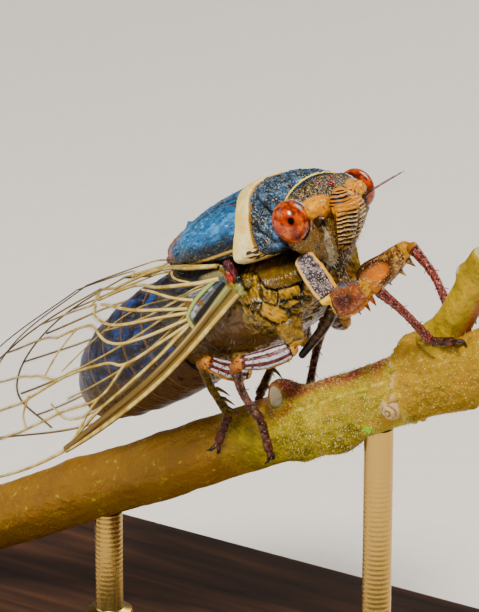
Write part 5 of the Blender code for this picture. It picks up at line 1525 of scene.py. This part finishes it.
def limb_rows(path, radii, rows=60, sides=48, flat=1.0, aim=(0.0, 0.0, 1.0), square_at=None):
    """Rings along a limb with round ends: points, share along and degrees round for each.

    A limb with flat faces is squared off, with its first face looking along square_at, in degrees.
    """
    t = np.linspace(0, 1, rows)
    share = np.clip(t - END_CROWDING * np.sin(2 * np.pi * t) / (2 * np.pi), 0, 1)
    here = smooth(path, share)
    ahead = unit(np.gradient(here, axis=0))
    side = unit(np.cross(ahead, aim))
    rise = np.cross(side, ahead)
    length = np.linalg.norm(np.diff(here, axis=0), axis=1).sum()
    radius = smooth(np.array(radii)[:, None], share)[:, 0]
    blunt = ROUND_END if square_at is None else SQUARE_END
    cap = np.clip(np.minimum(share, 1 - share) * length / (blunt * radius + 1e-6), 0, 1)
    radius = np.maximum(radius * np.sqrt(1 - (1 - cap) ** 2), 0.01)
    turn = full_turn(sides)
    spoke = np.cos(turn)[None, :, None] * flat * side[:, None] + np.sin(turn)[None, :, None] * rise[:, None]
    if square_at is not None:
        off = turn - math.radians(square_at)
        spoke = spoke / ((np.abs(np.cos(off)) ** 4 + np.abs(np.sin(off)) ** 4) ** 0.25)[None, :, None] * 0.93
    points = here[:, None] + radius[:, None, None] * spoke
    s, a = np.meshgrid(share, np.degrees(turn), indexing="ij")
    return points, s, (a + 180) % 360 - 180


def powdery_shell():
    """Dull insect shell under grey-white wax powder, brown where the powder is worn."""
    settings = {"Roughness": 0.6, "Specular IOR Level": 0.4}
    ground = (0.3, ((0.38, "5A4020"), (0.5, "8E7C56"), (0.64, "CCC2A4")))
    layers = (("noise", 0.1, 0.56, 0.64, "362210"), ("noise", 0.14, 0.6, 0.7, "EAE2CC"))
    return painted_finish("powdery_cheek_shell", settings, ground, layers, (("noise", 0.15, 0.06, 5.0),))


cheek_points, cheek_share = limb_rows(CHEEK_PATH, CHEEK_WIDTH, 90, 60, 0.9, (1.0, 0.0, 0.0))[:2]
cheek_points = raised(cheek_points, 0.03 * grain_at(cheek_points, 0.3, 4.0))
cheek_finish = powdery_shell()
for word, side in (("left", 1), ("right", -1)):
    cheek = grid_mesh("cheek_plate_" + word, to_world(cheek_points * (1, side, 1)),
        {"down": 1 + 0 * cheek_share})
    settle(cheek, cheek_finish, "face_shell")
    hairs("cheek_hairs_" + word, cheek, "face_shell", 4.5e7, 0.34, 0.008, 0.5, (0.3, 0.0, -0.9), 23)

# The beak
# A straight jointed sheath for the mouth bristles, laid back between the legs: brown, black at
# its tip, with a groove down its front.
BEAK = ((2.6, 0, -6.3), (1.5, 0, -7.5), (0.1, 0, -8.6), (-2.15, 0, -9.75))
BEAK_RADII = (0.42, 0.36, 0.3, 0.2)


def brown_shell(name, ground, layers, rough=0.3):
    """Hard insect shell in the given browns and reds, waxed, with fine scratches of wear."""
    settings = {"Roughness": rough, "Specular IOR Level": 0.25, "Coat Weight": 0.1, "Coat Roughness": 0.1}
    bumps = (("noise", 0.14, 0.04, 5.0), ("cells", 0.08, 0.012, 0))
    return painted_finish(name, settings, (0.3, ground), layers, bumps)


beak_points, beak_share, beak_turn = limb_rows(BEAK, BEAK_RADII, 150, 48, 1.0, (0.0, 1.0, 0.0))
joint = mound(beak_share - 0.36, 0.012)
beak_points = raised(beak_points, -0.07 * joint - 0.06 * mound(beak_turn - 90, 14))
beak_marks = {"dark": step_up(beak_share, 0.7, 0.95), "seam": joint, "down": 0.4 + 0 * joint}
beak = grid_mesh("beak_sheath", to_world(beak_points), beak_marks)
settle(beak, brown_shell("beak_shell", ((0.35, "1E1006"), (0.5, "3E260C"), (0.65, "6E4E1C")),
    (("dark", 0.2, 0.9, "0C0604"), ("seam", 0.4, 0.9, "180E08"))), "leg_shell", "rostrum")

# The feelers
# Each has two stout joints under the brow ledge and then a fine stiff bristle of a few slender
# joints, pinkish grey with a yellow tip.
FEELERS = {"left": ((3.95, 1.95, -2.9), (6.8, 3.0, -2.35)),
    "right": ((3.95, -1.95, -2.9), (5.75, -3.95, -2.8))}
feeler_finish = brown_shell("feeler_shell", ((0.35, "5A3A3E"), (0.5, "8A686C"), (0.65, "A88C90")),
    (("foot", 0.3, 0.8, "3A2008"), ("seam", 0.4, 0.9, "2E1A1A"), ("tip", 0.3, 0.8, "D8BC2A")))
for word, (root, tip) in FEELERS.items():
    root, tip = np.array(root), np.array(tip)
    path = (root - (0.2, 0, 0), root + (tip - root) * 0.3 + (0, 0, 0.05), root + (tip - root) * 0.65 + (0,
        0, 0.04), tip)
    points, share, _ = limb_rows(path, (0.2, 0.075, 0.06, 0.035), 220, 30)
    stout = mound(share - 0.05, 0.06) * 0.12 + mound(share - 0.19, 0.05) * 0.07
    rings = mound((share * 9) % 1 - 0.5, 0.06) * step_up(share, 0.25, 0.3)
    points = raised(points, stout - 0.012 * rings)
    marks = {"foot": 1 - step_up(share, 0.26, 0.5), "seam": rings, "tip": step_up(share, 0.9, 0.97)}
    settle(grid_mesh("feeler_" + word, to_world(points), marks), feeler_finish, "leg_shell",
        "antenna_" + word)

# The legs
# Jointed tubes of hard shell: stout toothed forelegs, lighter striped middle and hind legs, each
# of a hip piece, thigh, shin and a three-jointed foot with two claws. The joints are knobbed and
# paler, and stiff hairs stand on the shins.
# For each leg: where the hip piece starts and ends, the knee, the ankle and the toe.
LEGS = {
    "front_right": ((2.6, -2.7, -4.4), (3.3, -2.65, -7.2), (7.0, -4.0, -6.85), (7.2, -1.2, -11.0),
        (8.8, -1.5, -11.35)),
    "front_left": ((2.1, 2.3, -5.0), (1.2, 2.3, -7.2), (5.14, 3.2, -6.2), (7.2, 1.45, -9.9),
        (8.2, 1.6, -10.6)),
    "mid_right": ((-0.1, -2.6, -7.0), (-0.1, -2.5, -8.8), (-2.9, -4.6, -8.45), (-4.5, -2.3, -12.1),
        (-4.8, -2.3, -13.9)),
    "mid_left": ((-0.1, 2.6, -7.0), (-0.1, 2.5, -8.8), (-2.9, 4.6, -8.45), (-4.4, 2.3, -12.1),
        (-4.9, 2.3, -13.8)),
    "hind_right": ((-3.9, -2.4, -7.9), (-3.6, -2.6, -9.3), (-4.6, -5.0, -7.7), (-6.9, -1.7, -11.3),
        (-7.9, -2.4, -12.6)),
    "hind_left": ((-3.9, 2.4, -7.9), (-3.6, 2.6, -9.3), (-4.7, 5.0, -7.7), (-7.2, 1.7, -11.3),
        (-8.2, 2.4, -12.6))}
FRONT_TEETH = ((0.38, 0.95), (0.62, 1.0), (0.8, 0.85))
HIND_SPURS = (0.5, 0.68, 0.86)
FORE_HIP_FACE = 38              # degrees round to the middle of the broad front face


def joined(name, pieces):
    """One object of several closed skins that grow out of each other."""
    with bpy.context.temp_override(active_object=pieces[0], selected_editable_objects=pieces):
        bpy.ops.object.join()
    pieces[0].name = name
    return pieces[0]


def around(degrees, centre):
    """How many degrees each place lies from a line along the limb."""
    return np.abs((degrees - centre + 180) % 360 - 180)


def thorn(root, tip, radius):
    """A short sharp spine, slightly curved."""
    root, tip = np.array(root), np.array(tip)
    bow = (root + tip) / 2 + np.array((0.06, 0, 0.02))
    points, share, _ = limb_rows((root, bow, tip), (radius, radius * 0.6, 0.02), 24, 14, 1.0, (0.2, 1.0, 0.1))
    return grid_mesh("thorn", to_world(points), {"tip": step_up(share, 0.45, 1.0)})


def hip_piece(which, root, hip):
    """The hip piece: a four-sided block on the forelegs, a short cone on the others."""
    middle = (root + hip) / 2
    fore = which.startswith("front")
    radii = {"front_right": (0.58, 0.72, 0.6), "front_left": (0.34, 0.52, 0.58)}.get(which, (0.8, 0.7, 0.45))
    rings, spokes, square_at = (110, 90, FORE_HIP_FACE) if fore else (60, 56, None)
    points, share, turn = limb_rows((root, middle, hip), radii, rings, spokes, 1.0, (1.0, 0.0, 0.0),
        square_at)
    rear_edge, front_edge = mound(around(turn, -10), 11), mound(around(turn, 86), 11)
    face = mound(around(turn, FORE_HIP_FACE), 26) * step_up(share, 0.08, 0.2) * (1 - step_up(share, 0.8, 0.9))
    grain = grain_at(points, 0.14, 7.0)
    height = 0.06 * (rear_edge + front_edge) - 0.07 * face + 0.03 * grain * (1 - rear_edge)
    height = height + 0.03 * grain_at(points, 0.5, 2.0)
    marks = {"rear_edge": rear_edge, "front_edge": front_edge, "foot": step_up(share, 0.83, 0.9),
        "down": 0.3 + 0.4 * face, "seam": mound(share - 0.85, 0.012)}
    return grid_mesh("hip", to_world(raised(points, height - 0.06 * marks["seam"])), marks)


def thigh(which, hip, knee):
    """The thigh: swollen, hollow-sided and toothed on the forelegs, slim and striped on the others."""
    fore = which.startswith("front")
    radii = (0.42, 0.85, 0.82, 0.64, 0.38) if fore else (0.34, 0.52, 0.54, 0.46, 0.34)
    middle = (hip + knee) / 2 - (0, 0, 0.25)
    points, share, turn = limb_rows((hip - (0, 0, 0.1), middle, knee), radii, 130, 96, 0.8)
    inner = 1.0 if fore else 0.0
    panel = mound(around(turn, 0), 42) * step_up(share, 0.06, 0.28) * (1 - step_up(share, 0.48, 0.78))
    crest = mound(around(turn, 52), 9) + mound(around(turn, -52), 9)
    stripe = 0.5 + 0.5 * np.cos(np.radians(turn * 8 + 20 * grain_at(points, 0.5, 4.0)))
    stripe = stripe * step_up(share, 0.08, 0.16) * (1 - step_up(share, 0.8, 0.88))
    knob = step_up(share, 0.86, 0.92)
    neck = mound(share - 0.13, 0.02)
    grain = grain_at(points, 0.2, 4.0)
    height = 0.03 * grain_at(points, 0.45, 6.0) + 0.02 * grain + 0.02 * knob - 0.05 * neck
    height = height + inner * (0.1 * crest - 0.34 * panel) + (1 - inner) * 0.025 * (stripe - 0.5)
    marks = {"panel": panel * inner, "top": mound(around(turn, 85), 34), "low": mound(around(turn, -95),
        36), "stripe": stripe * (1 - inner), "knob": knob, "foot": 1 - step_up(share, 0.1, 0.15),
        "down": 0.5 + 0 * share, "seam": neck}
    pieces = [grid_mesh("thigh", to_world(raised(points, height)), marks)]
    if fore:
        along = unit(knee - hip)
        down = unit(np.array((0, 0, -1.0)) + along * along[2])
        for place, length in FRONT_TEETH:
            base = hip + (knee - hip) * place - (0, 0, 0.3)
            pieces.append(thorn(base, base + down * length + along * 0.45, 0.24))
        for place in (0.3, 0.46, 0.54, 0.7, 0.87):
            base = hip + (knee - hip) * place - (0, 0, 0.45 - 0.35 * abs(place - 0.5))
            pieces.append(thorn(base, base + down * 0.55 + along * 0.15, 0.12))
    return pieces


def shin(which, hip, knee, ankle):
    """The shin: a slim rod with a knobbed knee end and rows of short spines."""
    middle = (knee + ankle) / 2 + unit(knee - hip) * 0.25
    points, share, turn = limb_rows((knee, middle, ankle), (0.33, 0.24, 0.21, 0.27), 130, 40, 1.0,
        (1.0, 0.2, 0.0))
    knob = (1 - step_up(share, 0.08, 0.14)) + 0.6 * step_up(share, 0.93, 0.97)
    ridge = 0.5 + 0.5 * np.cos(np.radians(turn * 5))
    grain = grain_at(points, 0.16, 9.0)
    height = 0.02 * knob + 0.02 * ridge * (1 - knob) + 0.03 * grain - 0.05 * mound(share - 0.11, 0.012)
    marks = {"knob": knob, "ridge": ridge * (1 - knob), "low": step_up(share, 0.45, 1.0),
        "down": 0.35 + 0.65 * step_up(share, 0.2, 0.5), "seam": mound(share - 0.11, 0.012)}
    pieces = [grid_mesh("shin", to_world(raised(points, height)), marks)]
    run = ankle - knee
    along = unit(run)
    out = unit(np.cross(-run, (0.0, 1.0, 0.0)))
    if which.startswith("hind"):
        for place in HIND_SPURS:
            base = knee + run * place
            pieces.append(thorn(base, base - out * 0.85 + along * 0.35, 0.13))
    aside = np.cross(along, out)
    for k in range(7):
        base = knee + run * (0.36 + 0.09 * k) + (middle - (knee + ankle) / 2) * (1 - abs(0.27 - 0.18 * k))
        lean = out * math.cos(2.1 * k) + aside * math.sin(2.1 * k)
        pieces.append(thorn(base, base + lean * 0.42 + along * 0.22, 0.045))
    return pieces


def foot(ankle, toe):
    """The foot: three short joints and two hooked claws."""
    points, share, _ = limb_rows((ankle, (ankle + toe) / 2, toe), (0.24, 0.23, 0.24), 110, 40, 1.0,
        (1.0, 0.2, 0.0))
    seam = mound(share - 0.3, 0.02) + mound(share - 0.58, 0.02)
    swell = 0.02 * np.sin(np.pi * np.clip((share - 0.58) / 0.42, 0,
        1)) + 0.02 * np.sin(np.pi * np.clip(share / 0.3, 0, 1))
    height = swell - 0.045 * seam + 0.015 * grain_at(points, 0.2, 3.0)
    marks = {"seam": seam, "down": 0.6 + 0 * share, "low": step_up(share, 0.3, 1.0)}
    pieces = [grid_mesh("foot", to_world(raised(points, height)), marks)]
    ahead = unit(toe - ankle)
    side = unit(np.cross(ahead, (1.0, 0.0, 0.3)))
    curl = np.cross(side, ahead)
    for s in (-1, 1):
        path = (toe - ahead * 0.1, toe + ahead * 0.35 + side * 0.25 * s,
            toe + ahead * 0.55 + side * 0.35 * s - curl * 0.3)
        points, share, _ = limb_rows(path, (0.13, 0.1, 0.02), 40, 18, 1.0, (1.0, 0.2, 0.0))
        marks = {"tip": step_up(share, 0.1, 0.5), "seam": 0 * share}
        pieces.append(grid_mesh("claw", to_world(points), marks))
    return pieces


SEAM_LAYER = ("seam", 0.35, 0.9, "1C0E0A")
hip_finish = brown_shell("speckled_hip_shell", ((0.4, "0C090A"), (0.5, "342A2A"), (0.6, "847674")),
    (("bloom", 0.08, 0.59, 0.64, "D8CCC0"), ("bloom", 0.1, 0.6, 0.66, "7A3440"),
    ("bloom", 0.13, 0.6, 0.66, "2E4A64"), ("rear_edge", 0.4, 0.7, "F0BE60"),
    ("front_edge", 0.4, 0.7, "F8AC00"), ("foot", 0.3, 0.8, "FFC800"), SEAM_LAYER), 0.34)
yellow_hip_finish = brown_shell("yellow_hip_shell", ((0.35, "A88008"), (0.5, "DCAE18"), (0.65, "FFDC50")),
    (("noise", 0.2, 0.6, 0.7, "FFE8A0"), ("bloom", 0.1, 0.64, 0.7, "5A3A04"), SEAM_LAYER), 0.2)
olive_hip_finish = brown_shell("olive_hip_shell", ((0.35, "4A3408"), (0.5, "80600E"), (0.65, "A8841C")),
    (("noise", 0.16, 0.58, 0.68, "362206"), ("foot", 0.3, 0.9, "C0942A"), SEAM_LAYER))
fore_thigh_finish = brown_shell("red_thigh_shell", ((0.35, "642208"), (0.5, "8E3E10"), (0.65, "B06820")),
    (("top", 0.35, 0.9, "46546E"), ("low", 0.3, 0.8, "D88400"), ("bloom", 0.12, 0.65, 0.72, "D09030"),
    ("panel", 0.15, 0.9, "460800"), ("noise", 0.2, 0.6, 0.75, "7A2408"), ("foot", 0.3, 0.8, "E8AC00"),
    ("knob", 0.1, 1.0, "B88008"), ("bloom", 0.16, 0.56, 0.7, "6E3404"), SEAM_LAYER), 0.2)
far_thigh_finish = brown_shell("orange_thigh_shell", ((0.35, "5E3610"), (0.5, "8E6024"), (0.65, "BE9448")),
    (("bloom", 0.12, 0.56, 0.64, "3A1A0C"), ("panel", 0.1, 0.3, "3A1404"), ("panel", 0.25, 0.7, "D87400"),
    ("top", 0.4, 0.9, "5A2418"), ("bloom", 0.1, 0.62, 0.7, "D8B878"), ("knob", 0.1, 1.0, "B48008"),
    SEAM_LAYER), 0.26)
wine_shin_finish = brown_shell("wine_shin_shell", ((0.35, "300806"), (0.5, "58140C"), (0.65, "7E2E18")),
    (("ridge", 0.6, 1.2, "8E3C34"), ("bloom", 0.1, 0.6, 0.68, "B88078"), ("noise", 0.2, 0.6, 0.7, "1E0404"),
    ("knob", 0.4, 0.9, "9A5C10"), SEAM_LAYER), 0.24)
striped_finish = brown_shell("striped_thigh_shell", ((0.35, "2E0806"), (0.5, "4E120C"), (0.65, "6E2A1A")),
    (("stripe", 0.42, 0.66, "C6C8D6"), ("bloom", 0.1, 0.6, 0.68, "8E5A50"), ("low", 0.3, 0.9, "B87A18"),
    ("foot", 0.3, 0.9, "C08838"), ("knob", 0.3, 0.8, "B4700C"), ("bloom", 0.13, 0.56, 0.66, "481804"),
    SEAM_LAYER), 0.22)
mottled_shin_finish = brown_shell("mottled_shin_shell", ((0.38, "2A100C"), (0.5, "5A2C22"),
    (0.62, "906050")), (("bloom", 0.1, 0.6, 0.67, "BC9484"), ("noise", 0.14, 0.58, 0.66, "1C0806"),
    ("knob", 0.4, 0.9, "8A4A10"), ("low", 0.5, 1.1, "44161A"), ("tip", 0.2, 0.8, "2A1814"), SEAM_LAYER))
olive_shin_finish = brown_shell("olive_shin_shell", ((0.38, "342608"), (0.5, "584410"), (0.62, "8A6E24")),
    (("bloom", 0.12, 0.56, 0.64, "221604"), ("knob", 0.4, 0.9, "7E4A10"), ("tip", 0.2, 0.8, "241608"),
    SEAM_LAYER))
foot_finish = brown_shell("foot_shell", ((0.35, "1C0A06"), (0.5, "40180E"), (0.65, "6A3620")),
    (("noise", 0.14, 0.6, 0.7, "92684E"), ("tip", 0.2, 0.8, "1A0C0A"), SEAM_LAYER))
LEG_FINISHES = {"front_right": (hip_finish, fore_thigh_finish, wine_shin_finish),
    "front_left": (yellow_hip_finish, far_thigh_finish, wine_shin_finish),
    "mid_right": (olive_hip_finish, striped_finish, mottled_shin_finish),
    "mid_left": (olive_hip_finish, striped_finish, mottled_shin_finish),
    "hind_right": (olive_hip_finish, striped_finish, olive_shin_finish),
    "hind_left": (olive_hip_finish, striped_finish, olive_shin_finish)}
for number, (which, places) in enumerate(LEGS.items()):
    root, hip, knee, ankle, toe = (np.array(p) for p in places)
    hip_shell, thigh_shell, shin_shell = LEG_FINISHES[which]
    limb = (("hip", [hip_piece(which, root, hip)], hip_shell, "coxa"), ("thigh", thigh(which, hip, knee),
        thigh_shell, "femur"), ("shin", shin(which, hip, knee, ankle), shin_shell, "tibia"),
        ("foot", foot(ankle, toe), foot_finish, "tarsus"))
    for word, pieces, finish, node in limb:
        piece = joined(word + "_" + which, pieces)
        settle(piece, finish, "leg_shell", "leg_" + which + "_" + node)
        hairs(word + "_hairs_" + which, piece, "leg_shell", 1.1e7, 0.3, 0.007, 0.6, (0, 0, 0), 30 + number)

# The floor, the lights and the camera
# A pale seamless studio sweep under soft lamps, seen from the insect's front right.
FLOOR_REACH = 900.0
TARGET = Vector((0.5, 0.0, 24.3)) * MM
VIEW_AZIMUTH = 33.5
VIEW_ELEVATION = 20
VIEW_DISTANCE = 0.2
LENS = 215.3
SENSOR_WIDTH = 36.0
NEAREST_SEEN = 0.005
SKY_STRENGTH = 0.125


def paper_sweep():
    """Matt studio paper: pale warm grey."""
    finish, tree, shader = blank_finish("sweep_paper", {"Roughness": 0.9, "Specular IOR Level": 0.2})
    place = add(tree, "ShaderNodeTexCoord").outputs["Object"]
    fibre = add(tree, "ShaderNodeTexNoise", None, {"Vector": place, "Scale": 900.0, "Detail": 3.0})
    tone = add(tree, "ShaderNodeValToRGB", None, {"Fac": fibre}, ((0.2, "F0EEEA"), (0.8, "F5F3F0")))
    tree.links.new(tone.outputs[0], shader.inputs["Base Color"])
    return finish


floor_mesh = bpy.data.meshes.new("floor")
reach = FLOOR_REACH * MM
floor_mesh.from_pydata([(-reach, -reach, 0), (reach, -reach, 0), (reach, reach, 0), (-reach, reach, 0)], [],
    [(0, 1, 2, 3)])
floor_mesh.materials.append(paper_sweep())
placed("floor", floor_mesh)


def direction(azimuth, elevation):
    """The way from the target out to a lamp or the camera, by its degrees round and up."""
    turn, rise = math.radians(azimuth), math.radians(elevation)
    return Vector((math.sin(turn) * math.cos(rise), -math.cos(turn) * math.cos(rise), math.sin(rise)))


def lamp(name, azimuth, elevation, distance, size, watts, tint):
    """A soft square lamp aimed at the insect from round it and above."""
    data = bpy.data.lights.new(name, "AREA")
    data.size = size
    data.energy = watts
    data.color = linear(tint)[:3]
    obj = placed(name, data)
    out = direction(azimuth, elevation)
    obj.location = TARGET + out * distance
    obj.rotation_euler = out.to_track_quat("Z", "Y").to_euler()


lamp("key_lamp", 25, 58, 0.30, 0.08, 1.45, "FFF6EA")
lamp("side_lamp", -60, 30, 0.35, 0.20, 0.34, "F2F6FF")
lamp("rim_lamp", 170, 35, 0.35, 0.16, 0.7, "FFF3E0")
world = bpy.data.worlds.new("studio")
world.use_nodes = True
world.node_tree.nodes["Background"].inputs[0].default_value = linear("E8EAEE")
world.node_tree.nodes["Background"].inputs[1].default_value = SKY_STRENGTH
bpy.context.scene.world = world

back = direction(VIEW_AZIMUTH, VIEW_ELEVATION)
right = direction(VIEW_AZIMUTH + 90, 0)
lens = bpy.data.cameras.new("camera")
lens.lens = LENS
lens.sensor_width = SENSOR_WIDTH
lens.clip_start = NEAREST_SEEN
camera = placed("camera", lens)
view_turn = Matrix((right, back.cross(right), back)).transposed().to_4x4()
camera.matrix_world = Matrix.Translation(TARGET + back * VIEW_DISTANCE) @ view_turn
bpy.context.scene.camera = camera
